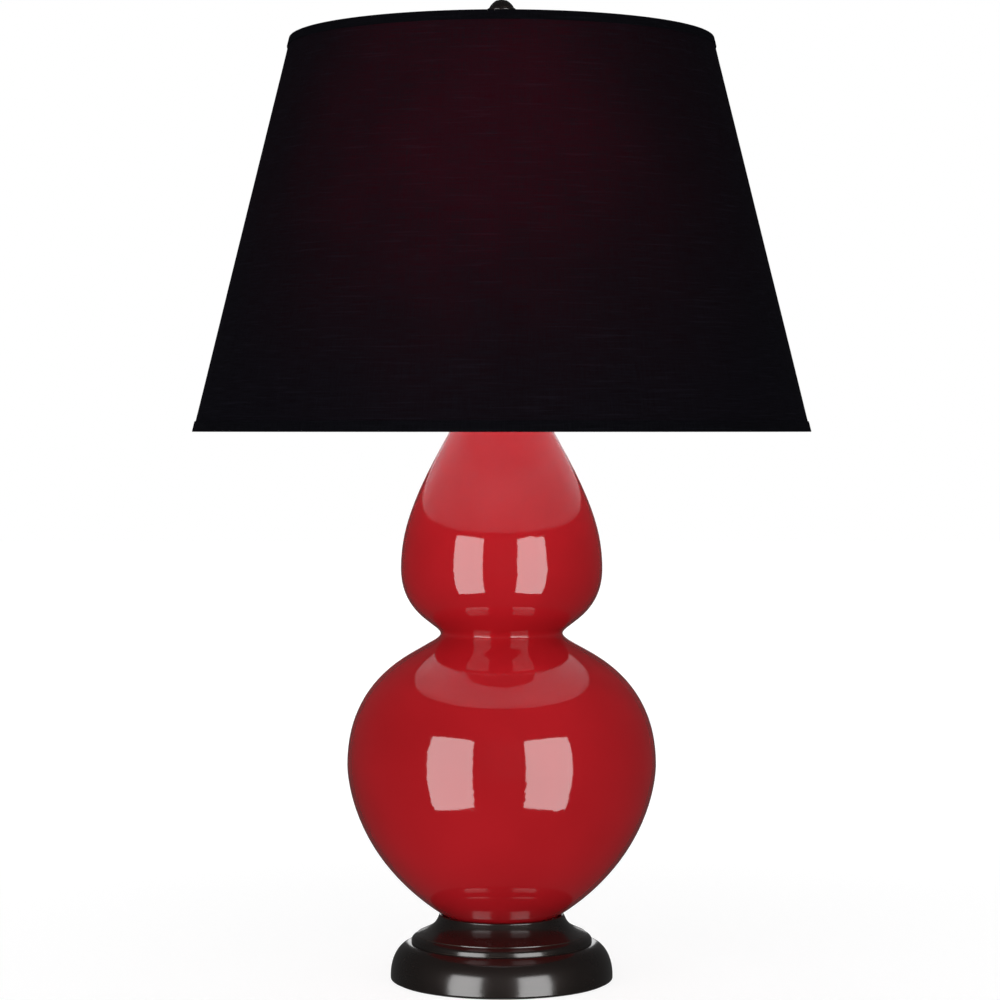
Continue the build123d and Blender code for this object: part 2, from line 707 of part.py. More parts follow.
def rim_trim(edge, width, inwards):
    """The tape folded over one rim of the shade: a band outside and a lip over the layers' edge."""
    depth = FABRIC_THICKNESS + LINER_THICKNESS
    lip = edge + inwards * TRIM_THICKNESS
    band = edge + inwards * width
    corners = [
        (-TRIM_THICKNESS, edge),
        (-TRIM_THICKNESS, band),
        (0, band),
        (0, lip),
        (depth, lip),
        (depth, edge),
    ]
    return turned_polygon([(fabric_radius(z) - inset * shade_stretch, z) for inset, z in corners])


def shade_seam():
    """The flat lap seam down the back of the shade."""
    low = shade_low + BOTTOM_TRIM_WIDTH + SEATED
    high = shade_top - TOP_TRIM_WIDTH - SEATED
    layer = shade_skin(0, -SEAM_THICKNESS, low, high)
    reach = 2 * SHADE_BOTTOM_RADIUS
    strip = Pos(0, reach / 2, (low + high) / 2) * Box(SEAM_WIDTH, reach, SHADE_HEIGHT)
    return layer & strip


def ring_radius(height):
    """The radius of a rim wire that lies against the liner."""
    depth = FABRIC_THICKNESS + LINER_THICKNESS + SEATED + RING_WIRE_RADIUS
    return fabric_radius(height) - depth * shade_stretch


top_ring_height = shade_top - RING_INSET
bottom_ring_height = shade_low + RING_INSET


def rim_ring(height):
    """The wire ring inside one rim of the shade, with a many-sided section for the round wire."""
    section = Plane.XZ * Pos(ring_radius(height), height) * RegularPolygon(RING_WIRE_RADIUS, WIRE_SIDES)
    return revolve(section, Axis.Z, 360)


arm_height = hub_low + HUB_THICKNESS / 2
arm_root = HUB_RADIUS - 2 * ARM_RADIUS


def spider_arm(turn):
    """One arm of the spider: a level run from the hub and a short lift to the top ring."""
    end = ring_radius(top_ring_height)
    route = [(arm_root, arm_height), (end - ARM_LIFT_RUN, arm_height), (end, top_ring_height)]
    return Rot(0, 0, turn) * bent_wire(ARM_RADIUS, route, 6 * ARM_RADIUS)


def spider_arms():
    """The arms between the hub and the top ring, one of them at the back."""
    arms = [spider_arm(90 + arm * 360 / ARM_COUNT) - rim_ring(top_ring_height) for arm in range(ARM_COUNT)]
    return Compound(children=[arm.solids().sort_by(SortBy.VOLUME)[-1] for arm in arms])


def spider_hub():
    """The round hub that sits on the swivel's plate, drilled for the arms and the stud."""
    bevel = HUB_THICKNESS / 5
    outline = [
        (STUD_RADIUS + HOLE_EASE, hub_low),
        (HUB_RADIUS, hub_low),
        (HUB_RADIUS, hub_top - bevel),
        (HUB_RADIUS - bevel, hub_top),
        (STUD_RADIUS + HOLE_EASE, hub_top),
    ]
    hub = turned_polygon(outline)
    arm_hole = rod_along_x(ARM_RADIUS, arm_root, 2 * HUB_RADIUS, arm_height)
    for arm in range(ARM_COUNT):
        hub -= Rot(0, 0, 90 + arm * 360 / ARM_COUNT) * arm_hole
    return hub


# ---- finial ----
def finial_knob():
    """The turned finial: collar, waisted neck, ring, sloping crown and button."""
    ring_low = finial_low + FINIAL_RING_HEIGHT
    ring_top = ring_low + FINIAL_RING_THICKNESS
    crown = finial_low + FINIAL_CROWN_HEIGHT
    top = crown + FINIAL_BUTTON_HEIGHT
    collar_top = finial_low + FINIAL_COLLAR_HEIGHT
    neck = at(FINIAL_NECK_RADIUS, finial_low + FINIAL_NECK_HEIGHT)
    swell = (neck.Z + ring_low) / 2
    edge = FINIAL_COLLAR_RADIUS - FINIAL_COLLAR_HEIGHT / 2
    bore = INSERT_RADIUS
    bore_top = finial_low + INSERT_LENGTH + CUT
    collar_foot = at(edge, finial_low)
    collar_head = at(edge, collar_top)
    collar_side = at(FINIAL_COLLAR_RADIUS, (finial_low + collar_top) / 2)
    ring_foot = at(FINIAL_RING_RADIUS - FINIAL_RING_THICKNESS / 2, ring_low)
    ring_head = at(FINIAL_RING_RADIUS - FINIAL_RING_THICKNESS / 2, ring_top)
    ring_side = at(FINIAL_RING_RADIUS, (ring_low + ring_top) / 2)
    crown_edge = at(FINIAL_CROWN_RADIUS, crown)
    crown_bulge = at(ring_head.X - FINIAL_BUTTON_HEIGHT, (ring_top + crown) / 2)
    button_foot = at(FINIAL_BUTTON_RADIUS, crown)
    button_top = at(0, top)
    return turned(
        [
            Line(at(bore, finial_low), collar_foot),
            ThreePointArc(collar_foot, collar_side, collar_head),
            Bezier(collar_head, at(FINIAL_NECK_RADIUS, collar_top), at(FINIAL_NECK_RADIUS, collar_top), neck),
            Bezier(neck, at(FINIAL_NECK_RADIUS, swell), at(FINIAL_RING_RADIUS, swell), ring_foot),
            ThreePointArc(ring_foot, ring_side, ring_head),
            Bezier(ring_head, crown_bulge, crown_edge),
            Line(crown_edge, button_foot),
            quarter_round(button_foot, at(FINIAL_BUTTON_RADIUS, top), button_top),
            Line(button_top, at(0, bore_top)),
            Line(at(0, bore_top), at(bore, bore_top)),
            Line(at(bore, bore_top), at(bore, finial_low)),
        ]
    )


def finial_insert():
    """The threaded bush pressed into the finial."""
    return collar(stud_bore, INSERT_RADIUS, finial_low, finial_low + INSERT_LENGTH)


# ---- socket and switch ----
def socket_cap():
    """The socket's lower cap: a threaded hub that opens into a cup."""
    hub_top_height = socket_floor + SOCKET_HUB_HEIGHT
    rim = socket_floor + SOCKET_CAP_HEIGHT
    cup_foot = at(SOCKET_HUB_RADIUS, hub_top_height)
    cup_side = at(SOCKET_CAP_RADIUS, core_floor)
    inner_side = at(SOCKET_CAP_RADIUS - SOCKET_METAL, core_floor)
    inner_floor = at(rod_hole, hub_top_height + SOCKET_METAL)
    outside = quarter_round(cup_foot, at(SOCKET_CAP_RADIUS, hub_top_height), cup_side)
    inside = quarter_round(inner_side, at(inner_side.X, inner_floor.Z), inner_floor)
    screw_height = socket_floor + SOCKET_HUB_HEIGHT / 2
    cup = turned_polygon(
        [
            (rod_hole, socket_floor),
            (SOCKET_HUB_RADIUS, socket_floor),
            *chorded([outside], 2 * ROUND_STEPS),
            (SOCKET_CAP_RADIUS, core_floor),
            (SOCKET_CAP_RADIUS, rim),
            (inner_side.X, rim),
            *chorded([inside], ROUND_STEPS),
            (rod_hole, inner_floor.Z),
        ]
    )
    return cup - rod_along_y(SET_SCREW_RADIUS, 0, 2 * SOCKET_HUB_RADIUS, screw_height)


def socket_set_screw():
    """The small screw that locks the socket cap on the rod."""
    height = socket_floor + SOCKET_HUB_HEIGHT / 2
    shank = rod_along_y(SET_SCREW_RADIUS, ROD_RADIUS + RUNNING, SOCKET_HUB_RADIUS + SET_SCREW_PROUD, height)
    slot = Box(3 * SET_SCREW_RADIUS, SET_SCREW_PROUD, SET_SCREW_RADIUS / 3)
    return shank - Pos(0, SOCKET_HUB_RADIUS + SET_SCREW_PROUD, height) * slot


def switch_hole():
    """The round way through the socket's walls for the switch shaft."""
    return rod_along_y(SHAFT_RADIUS + 2 * HOLE_EASE, -2 * SOCKET_CAP_RADIUS, 0, switch_height)


def socket_shell():
    """The socket's metal shell, with a rolled bead at its mouth."""
    inner = shell_outer - SOCKET_METAL
    bead_low = shell_top - 2 * SOCKET_BEAD
    bead_side = at(shell_outer + SOCKET_BEAD, shell_top - SOCKET_BEAD)
    shell = turned(
        [
            Line(at(inner, shell_low), at(shell_outer, shell_low)),
            Line(at(shell_outer, shell_low), at(shell_outer, bead_low)),
            ThreePointArc(at(shell_outer, bead_low), bead_side, at(shell_outer, shell_top)),
            Line(at(shell_outer, shell_top), at(inner, shell_top)),
            Line(at(inner, shell_top), at(inner, shell_low)),
        ]
    )
    return shell - switch_hole()


def socket_liner():
    """The insulating paper sleeve inside the shell."""
    outer = shell_outer - SOCKET_METAL - RUNNING
    return collar(outer - LINER_PAPER, outer, shell_low + CUT, shell_top - CUT) - switch_hole()


def socket_core():
    """The moulded block that carries the contacts and the switch, with a flat for each terminal."""
    core = bar(CORE_RADIUS, core_floor, core_top)
    step = CORE_RADIUS / 8
    core = chamfer(core.edges().group_by(Axis.Z)[0], step)
    pocket = Box(CORE_RADIUS, 2 * CORE_RADIUS, 4 * TERMINAL_HEAD_RADIUS)
    for side in (-1, 1):
        core -= Pos(side * (CORE_FLAT + CORE_RADIUS / 2), 0, core_floor + TERMINAL_HEIGHT) * pocket
    core -= rod_along_y(SHAFT_RADIUS + RUNNING, -2 * CORE_RADIUS, -SHAFT_DEPTH - RUNNING, switch_height)
    return core - terminal_shanks()


def screw_shell():
    """The threaded brass cup that holds the bulb, shown without its thread."""
    outer = screw_shell_bore + SCREW_SHELL_WALL
    tube = collar(screw_shell_bore, outer, core_top, core_top + SCREW_SHELL_HEIGHT)
    return tube + collar(CONTACT_RADIUS + 2 * CONTACT_THICKNESS, outer, core_top, core_top + SCREW_SHELL_WALL)


def centre_contact():
    """The contact in the middle of the socket."""
    return bar(CONTACT_RADIUS, core_top, core_top + CONTACT_THICKNESS)


def terminal_shanks():
    """The shanks of the two terminal screws."""
    height = core_floor + TERMINAL_HEIGHT
    right = rod_along_x(TERMINAL_SHANK_RADIUS, CORE_FLAT - TERMINAL_SHANK_LENGTH, CORE_FLAT, height)
    return right + right.mirror(Plane.YZ)


def terminal_screws():
    """The two slotted terminal screws at the sides of the core."""
    height = core_floor + TERMINAL_HEIGHT
    face = CORE_FLAT + TERMINAL_HEAD_THICKNESS
    screw = rod_along_x(TERMINAL_HEAD_RADIUS, CORE_FLAT, face, height)
    slot = Box(TERMINAL_HEAD_THICKNESS, 3 * TERMINAL_HEAD_RADIUS, TERMINAL_HEAD_RADIUS / 4)
    screw -= Pos(face, 0, height) * slot
    screw += rod_along_x(TERMINAL_SHANK_RADIUS, CORE_FLAT - TERMINAL_SHANK_LENGTH, CORE_FLAT, height)
    return screw + screw.mirror(Plane.YZ)


knob_inner = SOCKET_CAP_RADIUS + KNOB_STANDOFF
knob_outer = knob_inner + KNOB_LENGTH


def switch_shaft():
    """The round shaft of the rotary switch."""
    return rod_along_y(SHAFT_RADIUS, -SHAFT_DEPTH - SHAFT_LENGTH, -SHAFT_DEPTH - 2 * RUNNING, switch_height)


def switch_knob():
    """The fluted knob on the shaft, crowned at its end."""
    knob = rod_along_y(KNOB_RADIUS, -knob_outer, -knob_inner, switch_height)
    knob = fillet(knob.edges().group_by(Axis.Y)[0], KNOB_RADIUS / 4)
    flute_height = KNOB_RADIUS + KNOB_FLUTE_RADIUS / 3
    flute = rod_along_y(KNOB_FLUTE_RADIUS, -knob_outer - CUT, -knob_inner - CUT, flute_height)
    for turn in range(KNOB_FLUTES):
        knob -= Pos(0, 0, switch_height) * Rot(0, turn * 360 / KNOB_FLUTES, 0) * flute
    return knob - switch_shaft()


# ---- light bulb ----
def bulb_sides(inset):
    """The side of the bulb's glass from its neck up to its crown, drawn in by an inset."""
    neck = BULB_CAP_RADIUS - BULB_CAP_WALL - RUNNING - inset
    belly = bulb_top - BULB_BELLY_DROP
    rise = belly - bulb_cap_top
    wide = BULB_RADIUS - inset
    flare = bulb_cap_top + rise * BULB_NECK_PULL
    swell = belly - rise * BULB_BELLY_PULL
    return [
        Bezier(at(neck, bulb_cap_top), at(neck, flare), at(wide, swell), at(wide, belly)),
        quarter_round(at(wide, belly), at(wide, bulb_top - inset), at(0, bulb_top - inset)),
    ]


def bulb_glass():
    """The bulb's glass envelope, seated in its cap."""
    low = bulb_cap_top - BULB_NECK_DEPTH
    outside = bulb_sides(0)
    inside = bulb_sides(BULB_GLASS)
    neck = outside[0] @ 0
    crown = outside[-1] @ 1
    inner_neck = inside[0] @ 0
    inner_crown = inside[-1] @ 1
    corners = [(inner_crown.X, inner_crown.Z), (0, low), (inner_neck.X, low)]
    bottom = Line(at(0, low), at(neck.X, low))
    glass = turned([bottom, Line(at(neck.X, low), neck), *outside, Line(crown, at(0, low))])
    return glass - turned_polygon(corners + chorded(inside, 2 * CAVITY_STEPS))


def bulb_cap():
    """The bulb's metal cap, shown without its thread."""
    throat = BULB_CAP_RADIUS - BULB_CAP_BEVEL
    low = bulb_cap_low
    outline = [
        (CONTACT_RADIUS + BULB_CAP_WALL, low),
        (throat, low),
        (BULB_CAP_RADIUS, low + 3 * BULB_CAP_WALL),
        (BULB_CAP_RADIUS, bulb_cap_top),
        (BULB_CAP_RADIUS - BULB_CAP_WALL, bulb_cap_top),
        (BULB_CAP_RADIUS - BULB_CAP_WALL, low + 4 * BULB_CAP_WALL),
        (CONTACT_RADIUS + BULB_CAP_WALL, low + BULB_CAP_WALL),
    ]
    return turned_polygon(outline)


def bulb_insulator():
    """The glass insulator between the cap and the tip."""
    low = bulb_low + BULB_TIP_HEIGHT
    rim = BULB_CAP_RADIUS - BULB_CAP_BEVEL
    return turned_polygon([(0, low), (BULB_TIP_RADIUS, low), (rim - CUT, bulb_cap_low), (0, bulb_cap_low)])


def bulb_tip():
    """The contact at the bulb's foot."""
    edge = at(BULB_TIP_RADIUS, bulb_low + BULB_TIP_HEIGHT)
    shoulder = at(BULB_TIP_RADIUS, bulb_low + BULB_TIP_HEIGHT / 2)
    flat = at(BULB_TIP_RADIUS / 2, bulb_low)
    return turned(
        [
            Line(at(0, bulb_low), flat),
            quarter_round(flat, at(BULB_TIP_RADIUS, bulb_low), shoulder),
            Line(shoulder, edge),
            Line(edge, at(0, edge.Z)),
            Line(at(0, edge.Z), at(0, bulb_low)),
        ]
    )


stem_low = bulb_cap_top - BULB_NECK_DEPTH + CUT
stem_top = stem_low + STEM_HEIGHT


def bulb_stem():
    """The glass stem inside the bulb, flared where it is sealed to the neck."""
    flare = BULB_CAP_RADIUS - BULB_CAP_WALL - RUNNING - BULB_GLASS
    outline = [
        (0, stem_low),
        (flare, stem_low),
        (flare, stem_low + STEM_FLARE / 2),
        (STEM_RADIUS, stem_low + 2 * STEM_FLARE),
        (STEM_RADIUS, stem_top - STEM_FLARE),
        (STEM_RADIUS + CUT, stem_top - STEM_FLARE / 2),
        (STEM_RADIUS / 2, stem_top),
        (0, stem_top),
    ]
    return turned_polygon(outline)


lead_root = STEM_RADIUS / 3


def lead_path(side):
    """The route of one lead, from inside the stem's tip out to the filament's end."""
    reach = LEAD_SPREAD / 2
    start = stem_top - CUT
    return [
        (side * lead_root, start),
        (side * lead_root, start + 3 * CUT),
        (side * reach, stem_top + LEAD_HEIGHT),
    ]


def bulb_leads():
    """The two lead wires that hold the filament."""
    leads = [bent_wire(LEAD_RADIUS, lead_path(side), 4 * LEAD_RADIUS) for side in (-1, 1)]
    ends = bar(STEM_RADIUS / 2, stem_low, stem_top) + bulb_filament()
    return Compound(children=[(lead - ends).solids()[0] for lead in leads])


def bulb_filament():
    """The filament's coil as a thin bar between the leads."""
    reach = LEAD_SPREAD / 2
    height = stem_top + LEAD_HEIGHT
    return rod_along_x(FILAMENT_RADIUS, -reach - CUT, reach + CUT, height)


def make_parts():
    """Every sub-part under the name of its node."""
    return {
        "felt_pad": felt_pad(),
        "base_shell": base_shell(),
        "base_weight": base_weight(),
        "cord_bushing": cord_bushing(),
        "bottom_washer": bottom_washer(),
        "bottom_lock_washer": lock_washer(lock_washer_low),
        "bottom_nut": bottom_nut(),
        "threaded_rod": threaded_rod(),
        "seat_gasket": seat_gasket(),
        "gourd_body": gourd_body(),
        "neck_gasket": neck_gasket(),
        "vase_cap": vase_cap(),
        "neck_spacer": neck_spacer(),
        "neck_lock_washer": lock_washer(spacer_top),
        "harp_saddle": harp_saddle(),
        "harp_wire": harp_wire(),
        "harp_washer": harp_washer(),
        "harp_sleeve_left": harp_sleeve(-1),
        "harp_sleeve_right": harp_sleeve(1),
        "harp_swivel": harp_swivel(),
        "spider_hub": spider_hub(),
        "spider_arms": spider_arms(),
        "top_ring": rim_ring(top_ring_height),
        "bottom_ring": rim_ring(bottom_ring_height),
        "shade_fabric": shade_fabric(),
        "shade_liner": shade_liner(),
        "top_trim": rim_trim(shade_top, TOP_TRIM_WIDTH, -1),
        "bottom_trim": rim_trim(shade_low, BOTTOM_TRIM_WIDTH, 1),
        "shade_seam": shade_seam(),
        "finial_knob": finial_knob(),
        "finial_insert": finial_insert(),
        "socket_cap": socket_cap(),
        "socket_set_screw": socket_set_screw(),
        "socket_shell": socket_shell(),
        "socket_liner": socket_liner(),
        "socket_core": socket_core(),
        "screw_shell": screw_shell(),
        "centre_contact": centre_contact(),
        "terminal_screws": terminal_screws(),
        "switch_shaft": switch_shaft(),
        "switch_knob": switch_knob(),
        "bulb_tip": bulb_tip(),
        "bulb_insulator": bulb_insulator(),
        "bulb_cap": bulb_cap(),
        "bulb_glass": bulb_glass(),
        "bulb_stem": bulb_stem(),
        "bulb_leads": bulb_leads(),
        "bulb_filament": bulb_filament(),
    }


os.makedirs("parts", exist_ok=True)
for node, solid in make_parts().items():
    export_step(solid, f"parts/{node}.step")
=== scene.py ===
import math

import bpy
from bpy.props import FloatProperty, FloatVectorProperty, PointerProperty
from bpy.types import Operator, Panel, PropertyGroup
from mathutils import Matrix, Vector, noise


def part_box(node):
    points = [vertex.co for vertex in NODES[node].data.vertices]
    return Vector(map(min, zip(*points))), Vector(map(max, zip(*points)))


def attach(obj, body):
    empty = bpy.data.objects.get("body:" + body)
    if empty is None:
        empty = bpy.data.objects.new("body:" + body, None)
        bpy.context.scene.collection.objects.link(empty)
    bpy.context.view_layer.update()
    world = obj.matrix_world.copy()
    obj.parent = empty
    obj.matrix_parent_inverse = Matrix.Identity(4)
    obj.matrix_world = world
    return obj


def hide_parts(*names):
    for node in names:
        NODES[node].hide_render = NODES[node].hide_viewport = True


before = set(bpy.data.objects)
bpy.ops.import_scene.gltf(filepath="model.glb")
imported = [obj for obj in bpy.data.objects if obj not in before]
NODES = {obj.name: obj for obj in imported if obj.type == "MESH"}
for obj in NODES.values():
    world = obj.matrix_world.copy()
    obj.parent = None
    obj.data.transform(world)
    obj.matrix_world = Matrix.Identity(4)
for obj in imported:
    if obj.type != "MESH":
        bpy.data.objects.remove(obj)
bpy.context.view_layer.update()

bl_info = {
    "name": "Double gourd lamp",
    "version": (1, 0, 0),
    "blender": (4, 5, 0),
    "location": "View3D > Sidebar > Lamp",
    "description": "Finishes a double gourd lamp: glaze, bronze, brass, cloth shade and studio",
    "category": "Object",
}

TAU = 2 * math.pi
BLACK = (0.0, 0.0, 0.0, 1.0)
WHITE = (1.0, 1.0, 1.0, 1.0)

# The camera that the photograph was taken with: how far off, how high, how far aside, its lens and
# sensor in millimetres, and how far its frame is slid down.
CAMERA_DISTANCE = 2.310
CAMERA_HEIGHT = 0.4348
CAMERA_ASIDE = -0.0013
CAMERA_LENS = 105.0
CAMERA_SENSOR = 36.0
CAMERA_SHIFT = -0.07

# The panels of light: how far off they stand, their lower and upper edges, and their width.
SOFTBOX = dict(distance=2.2, low=-1.18, high=1.19, width=1.35)
BACK_PANEL = dict(distance=1.8, low=0.05, high=1.0, width=0.6)

# The softboxes' turns from the front in degrees, and the back panel's share of their glow.
LEFT_TURN = -38.0
RIGHT_TURN = 34.5
BACK_SHARE = 0.2

# The radius of the bulb's light on the gourd and the lining.
SPILL_RADIUS = 0.1

# The floor: half its side, and where its glow, painted a little dimmer round the lamp so that the
# lamp's shadow shows there, starts to rise to full white and has risen.
FLOOR_REACH = 9.0
SHADOW_NEAR = 0.25
SHADOW_FAR = 1.6

# Where the glow painted on the cloth for the bulb's light through it sits: how high, how far it
# spreads up and round, how far it sits to the left, and its faintest share. What goes round the
# shade is in radians.
GLOW_HEIGHT = 0.662
GLOW_REACH = 0.135
GLOW_TURN = 0.62
GLOW_ASIDE = 0.1
GLOW_FAINTEST = 0.04

# The radius of the shade at which its weave has its true size.
WEAVE_RADIUS = 0.205

# The lathe's rings on metal, to the metre.
METAL_RINGS = 1500.0

# The turned pieces' roundness: steps round the axis.
FINE_STEPS = 256
SMALL_STEPS = 96


# ---- what a user may change ----
class StudioSettings(PropertyGroup):
    """Lights and floor."""

    softbox_glow: FloatProperty(
        name="Softbox glow",
        description="Radiance of the two front softboxes in polish",
        default=7.0,
        min=0.0,
    )
    left_light: FloatProperty(
        name="Left light",
        description="Radiance of the left softbox on matt surfaces",
        default=3.3,
        min=0.0,
    )
    right_light: FloatProperty(
        name="Right light",
        description="Radiance of the right softbox on matt surfaces",
        default=2.4,
        min=0.0,
    )
    front_light: FloatProperty(
        name="Front light",
        description="Radiance of a plain front panel on matt surfaces",
        default=4.6,
        min=0.0,
    )
    ambient: FloatProperty(
        name="Ambient",
        description="Plain light from all round on matt surfaces",
        default=0.25,
        min=0.0,
    )
    gloss_level: FloatProperty(
        name="Background in gloss",
        description="How bright the pale background looks in polished surfaces",
        default=0.06,
        min=0.0,
    )
    floor_bounce: FloatProperty(
        name="Floor bounce",
        description="Radiance that the pale floor throws on matt surfaces",
        default=0.48,
        min=0.0,
    )
    # The floor's white glow near the lamp, painted lower there than further off.
    floor_glow: FloatProperty(
        name="Floor white",
        description="White that the floor keeps in the lamp's shadow",
        default=0.86,
        min=0.0,
    )
    floor_colour: FloatVectorProperty(
        name="Floor colour",
        description="Colour of the floor",
        subtype="COLOR",
        default=(0.25, 0.25, 0.25),
    )


class GlazeSettings(PropertyGroup):
    """The gourd's glaze."""

    colour: FloatVectorProperty(
        name="Glaze",
        description="Colour of the glaze",
        subtype="COLOR",
        default=(0.415, 0.0095, 0.0145),
    )
    deep_colour: FloatVectorProperty(
        name="Deep glaze",
        description="Colour where the glaze lies thick",
        subtype="COLOR",
        default=(0.365, 0.0075, 0.0115),
    )
    roughness: FloatProperty(
        name="Roughness", description="Roughness of the glaze", default=0.045, min=0.0, max=1.0
    )
    ripple: FloatProperty(
        name="Ripple",
        description="Depth of the glaze's slow ripple",
        default=0.00012,
        unit="LENGTH",
    )


class BronzeSettings(PropertyGroup):
    """The dark metal of base, neck and finial."""

    colour: FloatVectorProperty(
        name="Bronze",
        description="Colour of the dark bronze",
        subtype="COLOR",
        default=(0.015, 0.0105, 0.009),
    )
    worn_colour: FloatVectorProperty(
        name="Worn bronze",
        description="Colour of its worn edges",
        subtype="COLOR",
        default=(0.20, 0.135, 0.10),
    )
    roughness: FloatProperty(
        name="Roughness", description="Roughness of the bronze", default=0.5, min=0.0, max=1.0
    )
    lacquer: FloatProperty(
        name="Lacquer",
        description="Roughness of the clear lacquer over the bronze",
        default=0.165,
        min=0.0,
        max=1.0,
    )


class ShadeSettings(PropertyGroup):
    """The cloth shade."""

    cloth_colour: FloatVectorProperty(
        name="Thread",
        description="Colour of the threads",
        subtype="COLOR",
        default=(0.0052, 0.0048, 0.0076),
    )
    gap_colour: FloatVectorProperty(
        name="Gap",
        description="Colour between the threads",
        subtype="COLOR",
        default=(0.0014, 0.0012, 0.0020),
    )
    trim_colour: FloatVectorProperty(
        name="Trim",
        description="Colour of the folded tape",
        subtype="COLOR",
        default=(0.0042, 0.0042, 0.0060),
    )
    # The glow is painted on the cloth: emission that stands in for the bulb's light through it.
    glow_colour: FloatVectorProperty(
        name="Glow",
        description="Colour of the light through the cloth",
        subtype="COLOR",
        default=(1.0, 0.0, 0.10),
    )
    glow: FloatProperty(
        name="Glow strength",
        description="Strength of the light through the cloth",
        default=0.016,
        min=0.0,
    )
    thread: FloatProperty(
        name="Thread pitch",
        description="Distance from thread to thread",
        default=0.00062,
        unit="LENGTH",
    )
    cloth_thickness: FloatProperty(
        name="Cloth", description="Thickness of the cloth", default=0.0009, unit="LENGTH"
    )
    trim_thickness: FloatProperty(
        name="Trim", description="Thickness of the folded tape", default=0.0008, unit="LENGTH"
    )
    waviness: FloatProperty(
        name="Waviness",
        description="How far the cloth strays from a true cone",
        default=0.0003,
        unit="LENGTH",
    )


class BulbSettings(PropertyGroup):
    """The lit bulb."""

    colour: FloatVectorProperty(
        name="Light colour",
        description="Colour of the lit bulb",
        subtype="COLOR",
        default=(0.96, 0.90, 1.0),
    )
    glow: FloatProperty(name="Glow", description="Radiance of the lit glass", default=11.0, min=0.0)
    seen_share: FloatProperty(
        name="Seen share",
        description="Share of the glow that is seen directly",
        default=0.012,
        min=0.0,
        max=1.0,
    )
    spill: FloatProperty(
        name="Spill",
        description="Radiance of the bulb's light on the gourd and lining",
        default=5.6,
        min=0.0,
    )
    thread_pitch: FloatProperty(
        name="Thread pitch",
        description="Rise of the bulb's thread in a turn",
        default=0.003629,
        unit="LENGTH",
    )
    thread_depth: FloatProperty(
        name="Thread depth",
        description="Depth of the bulb's thread",
        default=0.00085,
        unit="LENGTH",
    )


# ---- small helpers for node trees ----
def fill(tree, node, inputs):
    """Fills a node's inputs with values, or links them to other nodes' sockets."""
    for name, value in inputs.items():
        socket = node.inputs[name]
        if isinstance(value, bpy.types.NodeSocket):
            tree.links.new(value, socket)
        else:
            socket.default_value = value


def add_node(tree, kind, inputs=None, **settings):
    """A node with its settings, and with its inputs filled."""
    made = tree.nodes.new(kind)
    for name, value in settings.items():
        setattr(made, name, value)
    fill(tree, made, inputs or {})
    return made


def maths(tree, operation, first, second=0.0):
    """The outcome of a Math node."""
    return add_node(tree, "ShaderNodeMath", {0: first, 1: second}, operation=operation).outputs[0]


def times(tree, first, second):
    """One value times another."""
    return maths(tree, "MULTIPLY", first, second)


def plus(tree, first, second):
    """One value added to another."""
    return maths(tree, "ADD", first, second)


def hill(tree, value):
    """A smooth hill: full at nothing, and fading away to both sides."""
    return maths(tree, "EXPONENT", times(tree, times(tree, value, value), -1.0))


def remap(tree, value, low, high, to_low=0.0, to_high=1.0):
    """A value brought from one range to another, and held inside it."""
    inputs = {
        "Value": value,
        "From Min": low,
        "From Max": high,
        "To Min": to_low,
        "To Max": to_high,
    }
    return add_node(tree, "ShaderNodeMapRange", inputs).outputs[0]


def between(tree, mask, at_none, at_full):
    """A value that a mask brings from one to another."""
    return remap(tree, mask, 0.0, 1.0, at_none, at_full)


def mixed(tree, factor, first, second):
    """One colour mixed into another."""
    # A Mix node has sockets for each kind of data: colours go in at 6 and 7, and come out at 2.
    inputs = {0: factor, 6: first, 7: second}
    return add_node(tree, "ShaderNodeMix", inputs, data_type="RGBA").outputs[2]


def cloud(tree, vector, scale=1.0, detail=2.0, roughness=0.5):
    """Soft noise, most of it between 0.3 and 0.7."""
    inputs = {"Vector": vector, "Scale": scale, "Detail": detail, "Roughness": roughness}
    return add_node(tree, "ShaderNodeTexNoise", inputs).outputs["Fac"]


def position(tree):
    """The point of the surface, in the piece's own metres."""
    return add_node(tree, "ShaderNodeTexCoord").outputs["Object"]


def split(tree, vector):
    """A vector's three parts."""
    return add_node(tree, "ShaderNodeSeparateXYZ", {0: vector}).outputs


def turn_from_front(tree, parts):
    """How far a point is turned about the axis from the front, in radians."""
    return maths(tree, "ARCTAN2", parts["X"], times(tree, parts["Y"], -1.0))


def unrolled(tree, radius, across=1.0, along=1.0):
    """The point of a turned surface as if unrolled: metres round the axis and metres up."""
    parts = split(tree, position(tree))
    round_it = times(tree, turn_from_front(tree, parts), radius * across)
    up = times(tree, parts["Z"], along)
    return add_node(tree, "ShaderNodeCombineXYZ", {0: round_it, 1: up}).outputs[0]


def effect(name, inputs, outputs):
    """A new group of shader nodes: its tree, what it is given, and the node its results go to."""
    group = bpy.data.node_groups.new(name, "ShaderNodeTree")
    for label, kind, value in inputs:
        socket = group.interface.new_socket(label, in_out="INPUT", socket_type=kind)
        socket.default_value = value
    for label, kind in outputs:
        group.interface.new_socket(label, in_out="OUTPUT", socket_type=kind)
    given = group.nodes.new("NodeGroupInput").outputs
    return group, given, group.nodes.new("NodeGroupOutput")


def placed(tree, name, **values):
    """The outputs of an effect's group, placed in a material with its own values."""
    made = tree.nodes.new("ShaderNodeGroup")
    made.node_tree = bpy.data.node_groups[name]
    fill(tree, made, values)
    return made.outputs


def opaque(colour):
    """A colour with full alpha."""
    return (*colour[:3], 1.0)


def darker(colour, share):
    """A colour at a share of its strength, with full alpha."""
    return opaque([share * part for part in colour[:3]])


# ---- shared effects ----
FLOAT = "NodeSocketFloat"
COLOUR = "NodeSocketColor"


